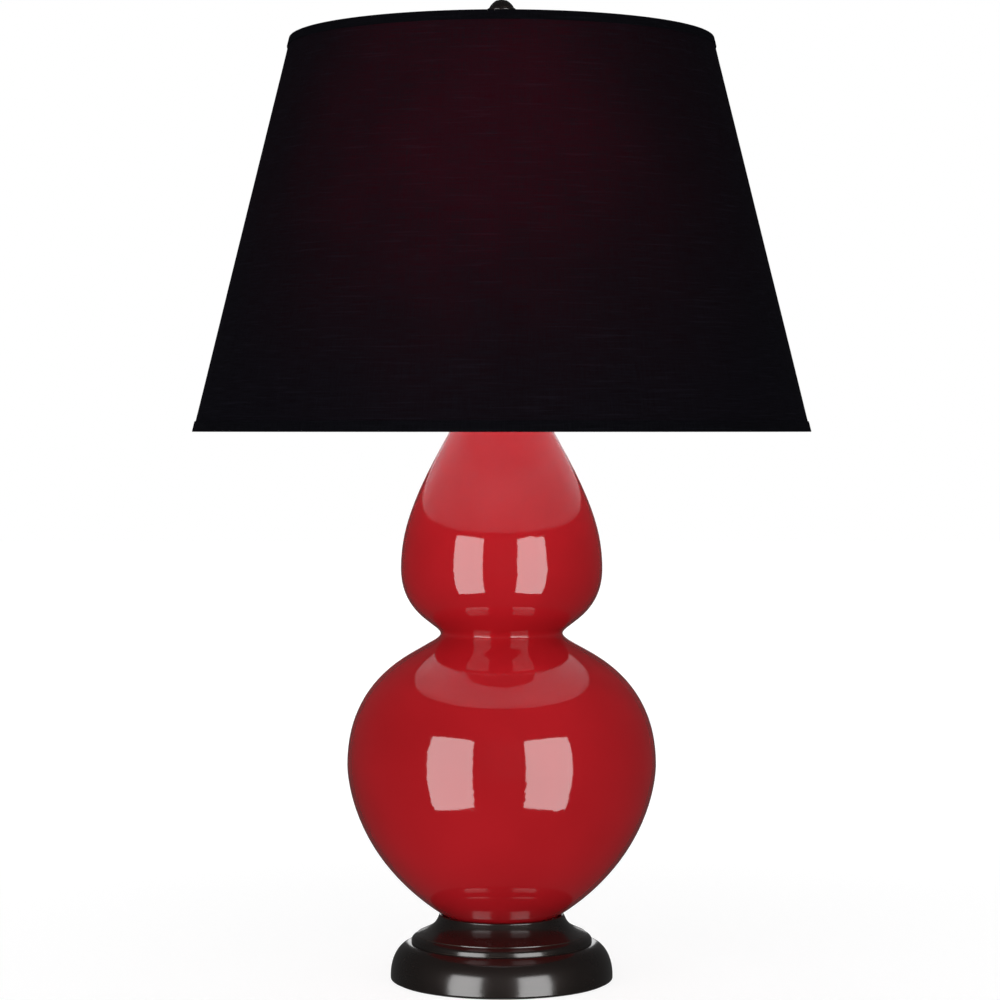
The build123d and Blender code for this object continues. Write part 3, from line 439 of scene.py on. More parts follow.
def make_smudges():
    """Slow patches and fine specks between two roughness values."""
    inputs = [("Low", FLOAT, 0.2), ("High", FLOAT, 0.4), ("Patch", FLOAT, 30.0)]
    tree, given, end = effect("Smudges", inputs, [("Roughness", FLOAT)])
    patch_share, finer = 0.75, 14.0
    where = position(tree)
    patches = cloud(tree, where, given["Patch"], detail=3.0, roughness=0.6)
    specks = cloud(tree, where, times(tree, given["Patch"], finer))
    both = plus(tree, times(tree, patches, patch_share), times(tree, specks, 1 - patch_share))
    fill(tree, end, {"Roughness": remap(tree, both, 0.34, 0.66, given["Low"], given["High"])})


def make_edge_wear():
    """A mask of rubbed edges, broken up by patches."""
    inputs = [("Width", FLOAT, 0.001), ("Amount", FLOAT, 1.0), ("Patch", FLOAT, 60.0)]
    tree, given, end = effect("Edge Wear", inputs, [("Mask", FLOAT)])
    bevelled = add_node(tree, "ShaderNodeBevel", {"Radius": given["Width"]}, samples=4).outputs[0]
    plain = add_node(tree, "ShaderNodeNewGeometry").outputs["Normal"]
    both = {0: bevelled, 1: plain}
    agree = add_node(tree, "ShaderNodeVectorMath", both, operation="DOT_PRODUCT").outputs["Value"]
    # The two normals agree on a face and part at an edge.
    on_face, on_edge = 0.995, 0.86
    rubbed = remap(tree, agree, on_face, on_edge)
    patches = cloud(tree, position(tree), given["Patch"], detail=4.0, roughness=0.65)
    broken = times(tree, rubbed, remap(tree, patches, 0.40, 0.62))
    fill(tree, end, {"Mask": times(tree, broken, given["Amount"])})


def make_turned_grain():
    """The fine rings that a lathe or a polishing wheel leaves."""
    inputs = [("Rings", FLOAT, 1800.0)]
    tree, given, end = effect("Turned Grain", inputs, [("Height", FLOAT), ("Streak", FLOAT)])
    drift = 0.002
    parts = split(tree, position(tree))
    squares = plus(tree, *(maths(tree, "POWER", parts[name], 2.0) for name in "XY"))
    turn = maths(tree, "ARCTAN2", parts["X"], parts["Y"])
    point = {0: maths(tree, "SQRT", squares), 1: times(tree, turn, drift), 2: parts["Z"]}
    rings = add_node(tree, "ShaderNodeCombineXYZ", point).outputs[0]
    lines = cloud(tree, rings, given["Rings"], detail=3.0, roughness=0.7)
    fill(tree, end, {"Height": lines, "Streak": remap(tree, lines, 0.3, 0.7)})


def make_weave():
    """Plain-woven cloth of thick and thin threads: its colour, its relief and the gaps between."""
    inputs = [
        ("Thread", COLOUR, (0.1, 0.1, 0.1, 1.0)),
        ("Gap", COLOUR, (0.02, 0.02, 0.02, 1.0)),
        ("Pitch", FLOAT, 0.0006),
        ("Slubs", FLOAT, 1.0),
    ]
    outputs = [("Colour", COLOUR), ("Height", FLOAT), ("Gaps", FLOAT)]
    tree, given, end = effect("Weave", inputs, outputs)

    # The threads: waves both ways, that stray a little from their lines.
    per_metre = maths(tree, "DIVIDE", 1.0, given["Pitch"])
    flat = unrolled(tree, WEAVE_RADIUS)
    parts = split(tree, flat)
    stray = times(tree, cloud(tree, flat, 90.0), 1.6)
    waves = []
    for name in "YX":
        line = plus(tree, times(tree, parts[name], per_metre), stray)
        waves.append(maths(tree, "SINE", times(tree, line, TAU)))
    threads = times(tree, plus(tree, *waves), 0.25)

    # How often the thickness changes to the metre, along a thread or slub and across it.
    along, across = 45.0, 1500.0
    along_slub, across_slub = 22.0, 520.0
    weft_share, warp_share, slub_share, thread_share = 1.5, 1.0, 0.55, 0.35
    weft = cloud(tree, unrolled(tree, WEAVE_RADIUS, along, across), roughness=0.6)
    warp = cloud(tree, unrolled(tree, WEAVE_RADIUS, across, along), roughness=0.6)
    slub = cloud(tree, unrolled(tree, WEAVE_RADIUS, along_slub, across_slub), detail=1.0)
    slubs = times(tree, remap(tree, slub, 0.60, 0.74), given["Slubs"])
    weft_tone = times(tree, maths(tree, "SUBTRACT", weft, 0.5), weft_share)
    warp_tone = times(tree, maths(tree, "SUBTRACT", warp, 0.5), warp_share)
    tone = plus(tree, plus(tree, weft_tone, warp_tone), 0.5)
    thickness = plus(tree, times(tree, slubs, slub_share), tone)
    covered = remap(tree, thickness, 0.1, 1.1)
    fill(tree, end, {
        "Colour": mixed(tree, covered, given["Gap"], given["Thread"]),
        "Height": plus(tree, times(tree, threads, thread_share), thickness),
        "Gaps": remap(tree, tone, 0.95, 0.15),
    })


def make_glaze():
    """Glaze over a thrown body: slow colour changes, a faint orange peel and the wheel's rings."""
    inputs = [
        ("Glaze", COLOUR, (0.5, 0.05, 0.05, 1.0)),
        ("Deep", COLOUR, (0.3, 0.03, 0.03, 1.0)),
        ("Patch", FLOAT, 9.0),
    ]
    outputs = [("Colour", COLOUR), ("Height", FLOAT), ("Sheen", FLOAT)]
    tree, given, end = effect("Glaze Depth", inputs, outputs)
    body_radius, round_body, up_body = 0.1, 2.0, 70.0
    peel_share, wheel_share, finer = 0.12, 0.5, 22.0
    where = position(tree)
    slow = remap(tree, cloud(tree, where, given["Patch"]), 0.35, 0.65)
    peel = cloud(tree, where, times(tree, given["Patch"], finer), detail=1.0)
    wheel = cloud(tree, unrolled(tree, body_radius, round_body, up_body), detail=1.0)
    fill(tree, end, {
        "Colour": mixed(tree, slow, given["Glaze"], given["Deep"]),
        "Height": plus(tree, times(tree, peel, peel_share), times(tree, wheel, wheel_share)),
        "Sheen": remap(tree, cloud(tree, where, 260.0, detail=3.0), 0.3, 0.7),
    })


EFFECTS = (make_smudges, make_edge_wear, make_turned_grain, make_weave, make_glaze)


def need_effects():
    """Builds the shared effects once."""
    if "Weave" not in bpy.data.node_groups:
        for make in EFFECTS:
            make()


# ---- materials ----
def new_finish(name):
    """A new material with its node tree and its surface shader."""
    need_effects()
    finish = bpy.data.materials.new(name)
    finish.use_nodes = True
    tree = finish.node_tree
    return finish, tree, tree.nodes["Principled BSDF"]


def bumped(tree, surface, height, distance, strength=1.0):
    """Sends a height to the shader's normal."""
    inputs = {"Height": height, "Distance": distance, "Strength": strength}
    fill(tree, surface, {"Normal": add_node(tree, "ShaderNodeBump", inputs).outputs[0]})


def smudges(tree, low, high):
    """Roughness that goes in smudges from one value to another."""
    return placed(tree, "Smudges", Low=low, High=high)["Roughness"]


def add_glow(tree, surface, mask, colour, strength):
    """Makes the shader glow in a colour, as far as a mask lets it."""
    shown = mixed(tree, mask, BLACK, opaque(colour))
    fill(tree, surface, {"Emission Color": shown, "Emission Strength": strength})


def metal_finish(name, colour, worn, low, high, wear=0.0004, wear_amount=0.6, depth=0.00001):
    """Turned, bent or cast metal with smudges, rubbed edges and a fine grain."""
    finish, tree, surface = new_finish(name)
    mask = placed(tree, "Edge Wear", Width=wear, Amount=wear_amount)["Mask"]
    grain = placed(tree, "Turned Grain", Rings=METAL_RINGS)
    base = mixed(tree, grain["Streak"], opaque(colour), darker(colour, 0.82))
    fill(tree, surface, {
        "Base Color": mixed(tree, mask, base, opaque(worn)),
        "Metallic": 1.0,
        "Roughness": smudges(tree, low, high),
    })
    bumped(tree, surface, grain["Height"], depth)
    return finish


def lacquered(finish, roughness):
    """A metal's finish turned half to patina, with a clear lacquer over it."""
    tree = finish.node_tree
    fill(tree, tree.nodes["Principled BSDF"], {
        "Metallic": 0.5,
        "Specular IOR Level": 0.1,
        "Coat Weight": 1.0,
        "Coat Roughness": roughness,
        "Coat IOR": 1.54,
    })
    return finish


def moulded_finish(name, colour, low, high, speck=900.0, depth=0.00002):
    """Plastic, rubber, card or enamel with a fine skin."""
    finish, tree, surface = new_finish(name)
    where = position(tree)
    patches = remap(tree, cloud(tree, where, 45.0, detail=3.0), 0.35, 0.65)
    fill(tree, surface, {
        "Base Color": mixed(tree, patches, opaque(colour), darker(colour, 0.78)),
        "Roughness": smudges(tree, low, high),
    })
    bumped(tree, surface, cloud(tree, where, speck), depth)
    return finish


def glaze_finish(name, settings):
    """The gourd's gloss glaze."""
    finish, tree, surface = new_finish(name)
    values = {"Glaze": opaque(settings.colour), "Deep": opaque(settings.deep_colour)}
    glaze = placed(tree, "Glaze Depth", **values)
    smoothest, roughest = 0.8 * settings.roughness, 1.3 * settings.roughness
    fill(tree, surface, {
        "Base Color": glaze["Colour"],
        "Roughness": between(tree, glaze["Sheen"], smoothest, roughest),
        "IOR": 1.5,
    })
    bumped(tree, surface, glaze["Height"], settings.ripple)
    return finish


def cloth_finish(name, thread, settings, glows):
    """Woven cloth, with a glow painted in its gaps in the upper front for the bulb's light through
    it.
    """
    finish, tree, surface = new_finish(name)
    gap = opaque(settings.gap_colour)
    weave = placed(tree, "Weave", Thread=opaque(thread), Gap=gap, Pitch=settings.thread)
    fill(tree, surface, {
        "Base Color": weave["Colour"],
        "Roughness": 0.92,
        "Specular IOR Level": 0.02,
        "Sheen Weight": 0.004,
        "Sheen Roughness": 0.5,
        "Sheen Tint": (0.62, 0.66, 1.0, 1.0),
    })
    bumped(tree, surface, weave["Height"], distance=0.00022, strength=0.8)
    if glows:
        # The cloth's glow is painted light: emission standing in for the bulb's light through the
        # weave.
        mask = painted_light_through(tree, weave["Gaps"])
        add_glow(tree, surface, mask, settings.glow_colour, settings.glow)
    return finish


def painted_light_through(tree, gaps):
    """Painted light through the cloth: a glow strong in the upper front, faint round the rest, none
    at the hem.
    """
    where = position(tree)
    parts = split(tree, where)
    rise = maths(tree, "DIVIDE", maths(tree, "SUBTRACT", parts["Z"], GLOW_HEIGHT), GLOW_REACH)
    aside = maths(tree, "DIVIDE", plus(tree, turn_from_front(tree, parts), GLOW_ASIDE), GLOW_TURN)
    spread = between(tree, hill(tree, aside), GLOW_FAINTEST, 1.0)
    mottled = remap(tree, cloud(tree, where, 14.0, detail=3.0), 0.3, 0.7, 0.7, 1.2)
    level = times(tree, times(tree, hill(tree, rise), spread), mottled)
    return times(tree, level, between(tree, gaps, 0.35, 1.6))


def lining_finish(name):
    """The shade's pale lining: smooth, with the cloth's threads faintly printed through."""
    finish, tree, surface = new_finish(name)
    values = {"Thread": (0.85, 0.83, 0.85, 1.0), "Gap": (0.78, 0.75, 0.76, 1.0)}
    weave = placed(tree, "Weave", **values)
    fill(tree, surface, {
        "Base Color": weave["Colour"],
        "Roughness": smudges(tree, low=0.42, high=0.58),
    })
    bumped(tree, surface, weave["Height"], distance=0.00004, strength=0.5)
    return finish


def lit_glass_finish(name, settings):
    """White-coated glass, lit from inside and dimmer at its neck."""
    finish, tree, surface = new_finish(name)
    where = position(tree)
    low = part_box("bulb_glass")[0].z
    neck_low, neck_high, neck_level = low + 0.012, low + 0.055, 0.35
    neck = remap(tree, split(tree, where)["Z"], neck_low, neck_high, neck_level, 1.0)
    coat = cloud(tree, where, 120.0, detail=3.0)
    level = times(tree, neck, remap(tree, coat, 0.3, 0.7, 0.94, 1.0))
    # Seen directly, the glass keeps its shading and doesn't burn out against the background.
    seen = add_node(tree, "ShaderNodeLightPath").outputs["Is Camera Ray"]
    mask = times(tree, level, between(tree, seen, 1.0, settings.seen_share))
    add_glow(tree, surface, mask, settings.colour, settings.glow)
    fill(tree, surface, {
        "Base Color": mixed(tree, coat, (0.9, 0.9, 0.88, 1), (0.8, 0.8, 0.78, 1)),
        "Roughness": 0.35,
    })
    return finish


def clear_glass_finish(name):
    """Clear glass with faint draw lines."""
    finish, tree, surface = new_finish(name)
    stem_radius, round_stem, up_stem = 0.004, 900.0, 12.0
    lines = cloud(tree, unrolled(tree, stem_radius, round_stem, up_stem), detail=1.0)
    fill(tree, surface, {
        "Base Color": mixed(tree, lines, (0.93, 0.96, 0.95, 1), (0.88, 0.92, 0.91, 1)),
        "Transmission Weight": 0.9,
        "IOR": 1.5,
        "Roughness": smudges(tree, low=0.02, high=0.08),
    })
    bumped(tree, surface, lines, distance=0.00003)
    return finish


def felt_finish(name):
    """Pressed felt: short fibres every way."""
    finish, tree, surface = new_finish(name)
    fibres = cloud(tree, position(tree), 1400.0, detail=4.0, roughness=0.75)
    fill(tree, surface, {
        "Base Color": mixed(tree, fibres, (0.030, 0.028, 0.026, 1), (0.075, 0.070, 0.064, 1)),
        "Roughness": 0.95,
        "Sheen Weight": 0.25,
    })
    bumped(tree, surface, fibres, distance=0.0004)
    return finish


# Each metal's colour, the colour of its rubbed edges, and the range of its roughness.
METALS = {
    "antique_brass": dict(colour=(0.46, 0.315, 0.145), worn=(0.72, 0.54, 0.29), low=0.26, high=0.4),
    "contact_brass": dict(colour=(0.72, 0.53, 0.24), worn=(0.86, 0.70, 0.40), low=0.16, high=0.28),
    "plain_steel": dict(colour=(0.55, 0.55, 0.53), worn=(0.75, 0.75, 0.73), low=0.26, high=0.42),
    "cast_iron": dict(
        colour=(0.11, 0.11, 0.11), worn=(0.25, 0.24, 0.23), low=0.55, high=0.75, depth=0.0001
    ),
    "bulb_aluminium": dict(colour=(0.78, 0.78, 0.79), worn=(0.88, 0.88, 0.88), low=0.22, high=0.36),
    "bulb_solder": dict(colour=(0.60, 0.60, 0.61), worn=(0.75, 0.75, 0.75), low=0.25, high=0.45),
    "filament_wire": dict(colour=(0.35, 0.33, 0.30), worn=(0.5, 0.48, 0.45), low=0.35, high=0.5),
}

# The same for what is moulded, dipped or pressed, whose edges don't rub bright.
MOULDED = {
    "ring_wire": dict(colour=(0.78, 0.77, 0.73), low=0.35, high=0.5),
    "black_rubber": dict(colour=(0.022, 0.022, 0.022), low=0.6, high=0.8),
    "black_plastic": dict(colour=(0.020, 0.020, 0.021), low=0.38, high=0.55),
    "moulded_black": dict(colour=(0.013, 0.012, 0.012), low=0.16, high=0.3, depth=0.00001),
    "liner_card": dict(colour=(0.55, 0.42, 0.27), low=0.75, high=0.9, speck=500.0, depth=0.00006),
    "bulb_vitrite": dict(colour=(0.015, 0.015, 0.024), low=0.1, high=0.2, depth=0.00001),
}


def finish_for(slot, scene):
    """The material of one of the record's slots, made the first time it is asked for."""
    name = "lamp_" + slot
    ready = bpy.data.materials.get(name)
    if ready:
        return ready
    if slot == "dark_bronze":
        bronze = scene.lamp_bronze
        low, high = 0.85 * bronze.roughness, 1.2 * bronze.roughness
        colours = (bronze.colour, bronze.worn_colour)
        finish = metal_finish(name, *colours, low, high, wear=0.0009, wear_amount=0.3)
        return lacquered(finish, bronze.lacquer)
    if slot in METALS:
        return metal_finish(name, **METALS[slot])
    if slot in MOULDED:
        return moulded_finish(name, **MOULDED[slot])
    shade = scene.lamp_shade
    special = {
        "red_glaze": lambda: glaze_finish(name, scene.lamp_glaze),
        "shade_linen": lambda: cloth_finish(name, shade.cloth_colour, shade, True),
        "trim_tape": lambda: cloth_finish(name, shade.trim_colour, shade, False),
        "shade_lining": lambda: lining_finish(name),
        "frosted_glass": lambda: lit_glass_finish(name, scene.lamp_bulb),
        "clear_glass": lambda: clear_glass_finish(name),
        "base_felt": lambda: felt_finish(name),
    }
    return special[slot]()


def finish_nodes(scene, finishes):
    """Gives CAD nodes their materials, from a table of slot to nodes."""
    for slot, names in finishes.items():
        finish = finish_for(slot, scene)
        for name in names:
            mesh = NODES[name].data
            mesh.materials.clear()
            mesh.materials.append(finish)


# ---- meshes ----
def turned_mesh(name, outline, steps, shift=None):
    """A closed outline of radii and heights turned about the axis; shift moves its points."""
    count = len(outline)
    points = []
    for step in range(steps):
        turn = TAU * step / steps
        for radius, height in outline:
            out, up = shift(turn, radius, height) if shift else (0.0, 0.0)
            reach = radius + out
            points.append((reach * math.sin(turn), -reach * math.cos(turn), height + up))
    faces = []
    for step in range(steps):
        here, there = step * count, (step + 1) % steps * count
        for index in range(count):
            after = (index + 1) % count
            faces.append((here + index, there + index, there + after, here + after))
    return smooth_mesh(name, points, faces)


def smooth_mesh(name, points, faces, sharp=35.0):
    """A mesh object with smooth faces and sharp edges where it turns hard."""
    mesh = bpy.data.meshes.new(name)
    mesh.from_pydata(points, [], faces)
    mesh.validate()
    for face in mesh.polygons:
        face.use_smooth = True
    mesh.set_sharp_from_angle(angle=math.radians(sharp))
    piece = bpy.data.objects.new(name, mesh)
    bpy.context.scene.collection.objects.link(piece)
    return piece


def rounded(corners, reach):
    """A closed outline with each corner rounded by a curve from at most that reach away."""
    rounded_points = []
    steps = 4
    longest_share = 0.45
    count = len(corners)
    for index, corner in enumerate(corners):
        here = Vector(corner)
        before, after = Vector(corners[index - 1]), Vector(corners[(index + 1) % count])
        back, on = before - here, after - here
        cut = min(reach, longest_share * back.length, longest_share * on.length)
        start, end = here + back.normalized() * cut, here + on.normalized() * cut
        for step in range(steps + 1):
            share = step / steps
            first, second = start.lerp(here, share), here.lerp(end, share)
            rounded_points.append(tuple(first.lerp(second, share)))
    return rounded_points


def dressed(piece, body, slot, scene, *stands_for):
    """A new piece rides on its body, takes its finish, and stands for its CAD nodes."""
    piece.data.materials.append(finish_for(slot, scene))
    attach(piece, body)
    if stands_for:
        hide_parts(*stands_for)
    return piece


def reach_at(name, height):
    """The outer radius of a CAD node near a height."""
    slack = 0.0006
    near = [v.co for v in NODES[name].data.vertices if abs(v.co.z - height) < slack]
    return max(math.hypot(co.x, co.y) for co in near)


def round_noise(turn, waves, layer):
    """Noise that closes on itself round the axis; more waves change faster, each layer differs."""
    return noise.noise(Vector((waves * math.sin(turn), waves * math.cos(turn), layer)))


def screw_wave(turn, height, pitch, depth, low, high):
    """How far a rounded thread stands out at a point, fading away at both ends."""
    fade = max(0.0, min(1.0, (height - low) / pitch, (high - height) / pitch))
    return depth * fade * 0.5 * (1 + math.cos(TAU * (height / pitch - turn / TAU)))


# ---- the steps: the stage, then piece by piece ----
class LAMP_OT_studio(Operator):
    """Set the camera, the lights, the floor and the pale background"""

    bl_idname = "lamp.studio"
    bl_label = "Studio"

    def execute(self, context):
        scene = context.scene
        scene.view_settings.view_transform = "Standard"
        place_camera(scene)
        place_lights(scene)
        place_floor(scene)
        set_background(scene)
        return {"FINISHED"}


def place_camera(scene):
    """The camera, level, with the frame slid down to take in the whole lamp."""
    data = bpy.data.cameras.new("camera")
    data.lens = CAMERA_LENS
    data.sensor_width = CAMERA_SENSOR
    data.shift_y = CAMERA_SHIFT
    camera = bpy.data.objects.new("camera", data)
    camera.location = (CAMERA_ASIDE, -CAMERA_DISTANCE, CAMERA_HEIGHT)
    camera.rotation_euler = (math.radians(90), 0, 0)
    scene.collection.objects.link(camera)
    scene.camera = camera


def softbox(scene, name, turn, glow, distance, low, high, width, in_polish=True, on_matt=True):
    """An upright panel of light that faces the lamp and is not seen directly."""
    data = bpy.data.lights.new(name, "AREA")
    data.shape = "RECTANGLE"
    data.size = width
    data.size_y = high - low
    data.energy = glow * math.pi * width * (high - low)
    light = bpy.data.objects.new(name, data)
    angle = math.radians(turn)
    light.location = (distance * math.sin(angle), -distance * math.cos(angle), (low + high) / 2)
    light.rotation_euler = (math.radians(90), 0, angle)
    light.visible_camera = False
    light.visible_glossy = in_polish
    light.visible_diffuse = on_matt
    scene.collection.objects.link(light)


def place_lights(scene):
    """Two softboxes, brighter in polish than on matt surfaces, and a front and a back panel."""
    studio = scene.lamp_studio
    sides = (("left", LEFT_TURN, studio.left_light), ("right", RIGHT_TURN, studio.right_light))
    for side, turn, light in sides:
        softbox(scene, "softbox_" + side, turn, studio.softbox_glow, **SOFTBOX, on_matt=False)
        softbox(scene, "softbox_" + side + "_matt", turn, light, **SOFTBOX, in_polish=False)
    softbox(scene, "softbox_front_matt", 0.0, studio.front_light, **SOFTBOX, in_polish=False)
    softbox(scene, "softbox_back", 180.0, BACK_SHARE * studio.softbox_glow, **BACK_PANEL)


def place_floor(scene):
    """A plain pale floor that keeps the lamp's shadow and shows white to the camera, its white
    painted a little dimmer near the lamp.
    """
    settings = scene.lamp_studio
    reach = FLOOR_REACH
    corners = [(-reach, -reach, 0), (reach, -reach, 0), (reach, reach, 0), (-reach, reach, 0)]
    mesh = bpy.data.meshes.new("floor")
    mesh.from_pydata(corners, [], [(0, 1, 2, 3)])
    floor = bpy.data.objects.new("floor", mesh)
    scene.collection.objects.link(floor)
    finish = bpy.data.materials.new("pale_floor")
    finish.use_nodes = True
    tree = finish.node_tree
    tree.nodes.clear()
    rays = add_node(tree, "ShaderNodeLightPath").outputs
    seen = maths(tree, "MAXIMUM", rays["Is Camera Ray"], rays["Is Transmission Ray"])
    away = add_node(tree, "ShaderNodeVectorMath", {0: position(tree)}, operation="LENGTH")
    # Painted shade: the floor's white glow is dimmer near the lamp and rises to full white further
    # off.
    clear = remap(tree, away.outputs["Value"], SHADOW_NEAR, SHADOW_FAR, settings.floor_glow, 1.0)
    white = times(tree, seen, clear)
    bounce = times(tree, rays["Is Diffuse Ray"], settings.floor_bounce)
    level = maths(tree, "MAXIMUM", white, bounce)
    matt = add_node(tree, "ShaderNodeBsdfDiffuse", {"Color": opaque(settings.floor_colour)})
    glow = add_node(tree, "ShaderNodeEmission", {"Color": WHITE, "Strength": level})
    both = add_node(tree, "ShaderNodeAddShader", {0: matt.outputs[0], 1: glow.outputs[0]})
    add_node(tree, "ShaderNodeOutputMaterial", {"Surface": both.outputs[0]})
    mesh.materials.append(finish)
    floor.visible_glossy = False


def set_background(scene):
    """White to the camera and through glass, dim in polish, and plain light on matt surfaces."""
    settings = scene.lamp_studio
    world = bpy.data.worlds.new("studio_white")
    scene.world = world
    world.use_nodes = True
    world.cycles.sampling_method = "NONE"
    tree = world.node_tree
    rays = add_node(tree, "ShaderNodeLightPath").outputs
    seen = maths(tree, "MAXIMUM", rays["Is Camera Ray"], rays["Is Transmission Ray"])
    polish = between(tree, rays["Is Glossy Ray"], settings.ambient, settings.gloss_level)
    level = maths(tree, "MAXIMUM", seen, polish)
    fill(tree, tree.nodes["Background"], {"Color": WHITE, "Strength": level})


class LAMP_OT_base(Operator):
    """Finish the stepped base, its felt, its cord bushing and what clamps it"""

    bl_idname = "lamp.base"
    bl_label = "Base"

    def execute(self, context):
        scene = context.scene
        finish_nodes(scene, {
            "dark_bronze": ["base_shell"],
            "cast_iron": ["base_weight"],
            "black_plastic": ["cord_bushing"],
            "plain_steel": ["bottom_washer", "bottom_lock_washer", "bottom_nut", "threaded_rod"],
            "black_rubber": ["seat_gasket"],
        })
        build_felt(scene)
        return {"FINISHED"}


def build_felt(scene):
    """The felt disc, soft at its edge."""
    low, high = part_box("felt_pad")
    reach = high.x
    hole, edge_round, fray, waves, layer = 0.004, 0.0008, 0.0004, 30, 7.0
    under = low.z + 0.0001
    corners = [(hole, under), (reach, under), (reach, high.z), (hole, high.z)]
    outline = rounded(corners, edge_round)

    def shift(turn, radius, height):
        if radius < 0.5 * reach:
            return 0.0, 0.0
        return -fray * abs(round_noise(turn, waves, layer)), 0.0

    felt = turned_mesh("felt_disc", outline, FINE_STEPS, shift)
    dressed(felt, "stand", "base_felt", scene, "felt_pad")


class LAMP_OT_body(Operator):
    """Glaze the gourd"""

    bl_idname = "lamp.body"
    bl_label = "Gourd"

    def execute(self, context):
        finish_nodes(context.scene, {"red_glaze": ["gourd_body"], "black_rubber": ["neck_gasket"]})
        return {"FINISHED"}


class LAMP_OT_neck(Operator):
    """Finish the neck's cap and spacer, the saddle, the harp, its sleeves and its swivel"""

    bl_idname = "lamp.neck"
    bl_label = "Neck and harp"

    def execute(self, context):
        scene = context.scene
        finish_nodes(scene, {
            "dark_bronze": ["vase_cap", "neck_spacer"],
            "plain_steel": ["neck_lock_washer"],
            "antique_brass": [
                "harp_saddle",
                "harp_wire",
                "harp_washer",
                "harp_sleeve_left",
                "harp_sleeve_right",
                "harp_swivel",
            ],
        })
        return {"FINISHED"}


class LAMP_OT_socket(Operator):
    """Finish the socket and its switch"""

    bl_idname = "lamp.socket"
    bl_label = "Socket"

    def execute(self, context):
        scene = context.scene
        finish_nodes(scene, {
            "antique_brass": ["socket_cap", "socket_shell"],
            "plain_steel": ["socket_set_screw", "switch_shaft"],
            "liner_card": ["socket_liner"],
            "moulded_black": ["socket_core", "switch_knob"],
            "contact_brass": ["screw_shell", "centre_contact", "terminal_screws"],
        })
        return {"FINISHED"}


class LAMP_OT_bulb(Operator):
    """Finish the lit bulb and roll the thread into its cap"""

    bl_idname = "lamp.bulb"
    bl_label = "Bulb"

    def execute(self, context):
        scene = context.scene
        finish_nodes(scene, {
            "bulb_solder": ["bulb_tip"],
            "bulb_vitrite": ["bulb_insulator"],
            "bulb_aluminium": ["bulb_cap"],
            "frosted_glass": ["bulb_glass"],
            "clear_glass": ["bulb_stem"],
            "plain_steel": ["bulb_leads"],
            "filament_wire": ["bulb_filament"],
        })
        build_bulb_cap(scene)
        place_spill(scene)
        return {"FINISHED"}


def place_spill(scene):
    """The bulb's light down on the gourd and the lining, not seen in their gloss."""
    low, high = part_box("bulb_glass")
    data = bpy.data.lights.new("bulb_spill", "AREA")
    data.shape = "DISK"
    data.size = 2 * SPILL_RADIUS
    data.energy = scene.lamp_bulb.spill * math.pi * math.pi * SPILL_RADIUS**2
    light = bpy.data.objects.new("bulb_spill", data)
    light.location = (0, 0, (low.z + high.z) / 2)
    light.visible_camera = False
    light.visible_glossy = False
    lit = bpy.data.collections.new("lit_by_spill")
    lit.objects.link(NODES["gourd_body"])
    lit.objects.link(NODES["shade_liner"])
    light.light_linking.receiver_collection = lit
    scene.collection.objects.link(light)


def build_bulb_cap(scene):
    """The bulb's rolled cap: a bevelled foot and a rounded thread."""
    settings = scene.lamp_bulb
    low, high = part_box("bulb_cap")
    outer = high.x
    wall, bevel, foot = 0.0005, 0.0015, 0.0051
    throat = outer - 0.0013
    rows_per_turn, plain_top = 12, 0.4
    pitch = settings.thread_pitch
    thread_low, thread_high = low.z + bevel, high.z - plain_top * pitch
    rise = thread_high - thread_low
    rows = round(rise / pitch * rows_per_turn)
    side = [(outer, thread_low + rise * row / rows) for row in range(rows + 1)]
    inside = [(outer - wall - settings.thread_depth, height) for _, height in reversed(side)]
    outline = [(foot, low.z), (throat, low.z), *side]
    outline += [(outer, high.z), (outer - wall, high.z), *inside]
    outline += [(throat - 2 * wall, low.z + wall), (foot, low.z + wall)]

    def shift(turn, radius, height):
        if radius < throat - wall:
            return 0.0, 0.0
        wave = screw_wave(turn, height, pitch, settings.thread_depth, thread_low, thread_high)
        return (wave - settings.thread_depth if thread_low < height < thread_high else 0.0), 0.0

    cap = turned_mesh("bulb_cap_rolled", outline, SMALL_STEPS, shift)
    dressed(cap, "bulb", "bulb_aluminium", scene, "bulb_cap")


class LAMP_OT_shade(Operator):
    """Cover the shade with cloth, bind its rims with tape, and finish its lining, wires and hub"""

    bl_idname = "lamp.shade"
    bl_label = "Shade"

    def execute(self, context):
        scene = context.scene
        finish_nodes(scene, {
            "antique_brass": ["spider_hub", "spider_arms"],
            "ring_wire": ["top_ring", "bottom_ring"],
            "shade_lining": ["shade_liner"],
        })
        build_cloth(scene)
        return {"FINISHED"}


def build_cloth(scene):
    """The cloth, its lap seam and its two bindings, as cut and glued to the lining."""
    settings = scene.lamp_shade
    low, high = (corner.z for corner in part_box("shade_fabric"))
    wide, narrow = reach_at("shade_fabric", low), reach_at("shade_fabric", high)
    slope = (wide - narrow) / (high - low)
    stretch = math.sqrt(1 + slope**2)
    rows, hem, waves_round, waves_up, lean_in = 64, 0.02, 3, 9, 0.6

    def radius_at(height):
        return narrow + (high - height) * slope

    def wander(turn, radius, height):
        edge = min(1.0, (height - low) / hem, (high - height) / hem)
        stray = 0.5 * (round_noise(turn, waves_round, waves_up * height) - lean_in)
        return settings.waviness * edge * stray, 0.0

    heights = [low + (high - low) * row / rows for row in range(rows + 1)]
    outside = [(radius_at(height), height) for height in heights]
    thick = settings.cloth_thickness * stretch
    inside = [(radius - thick, height) for radius, height in reversed(outside)]
    cloth = turned_mesh("shade_cloth", outside + inside, FINE_STEPS, wander)
    dressed(cloth, "shade", "shade_linen", scene, "shade_fabric")
    seam = build_seam(scene, radius_at)
    top = build_binding(scene, "shade_binding_top", "top_trim", radius_at, stretch)
    bottom = build_binding(scene, "shade_binding_bottom", "bottom_trim", radius_at, stretch)


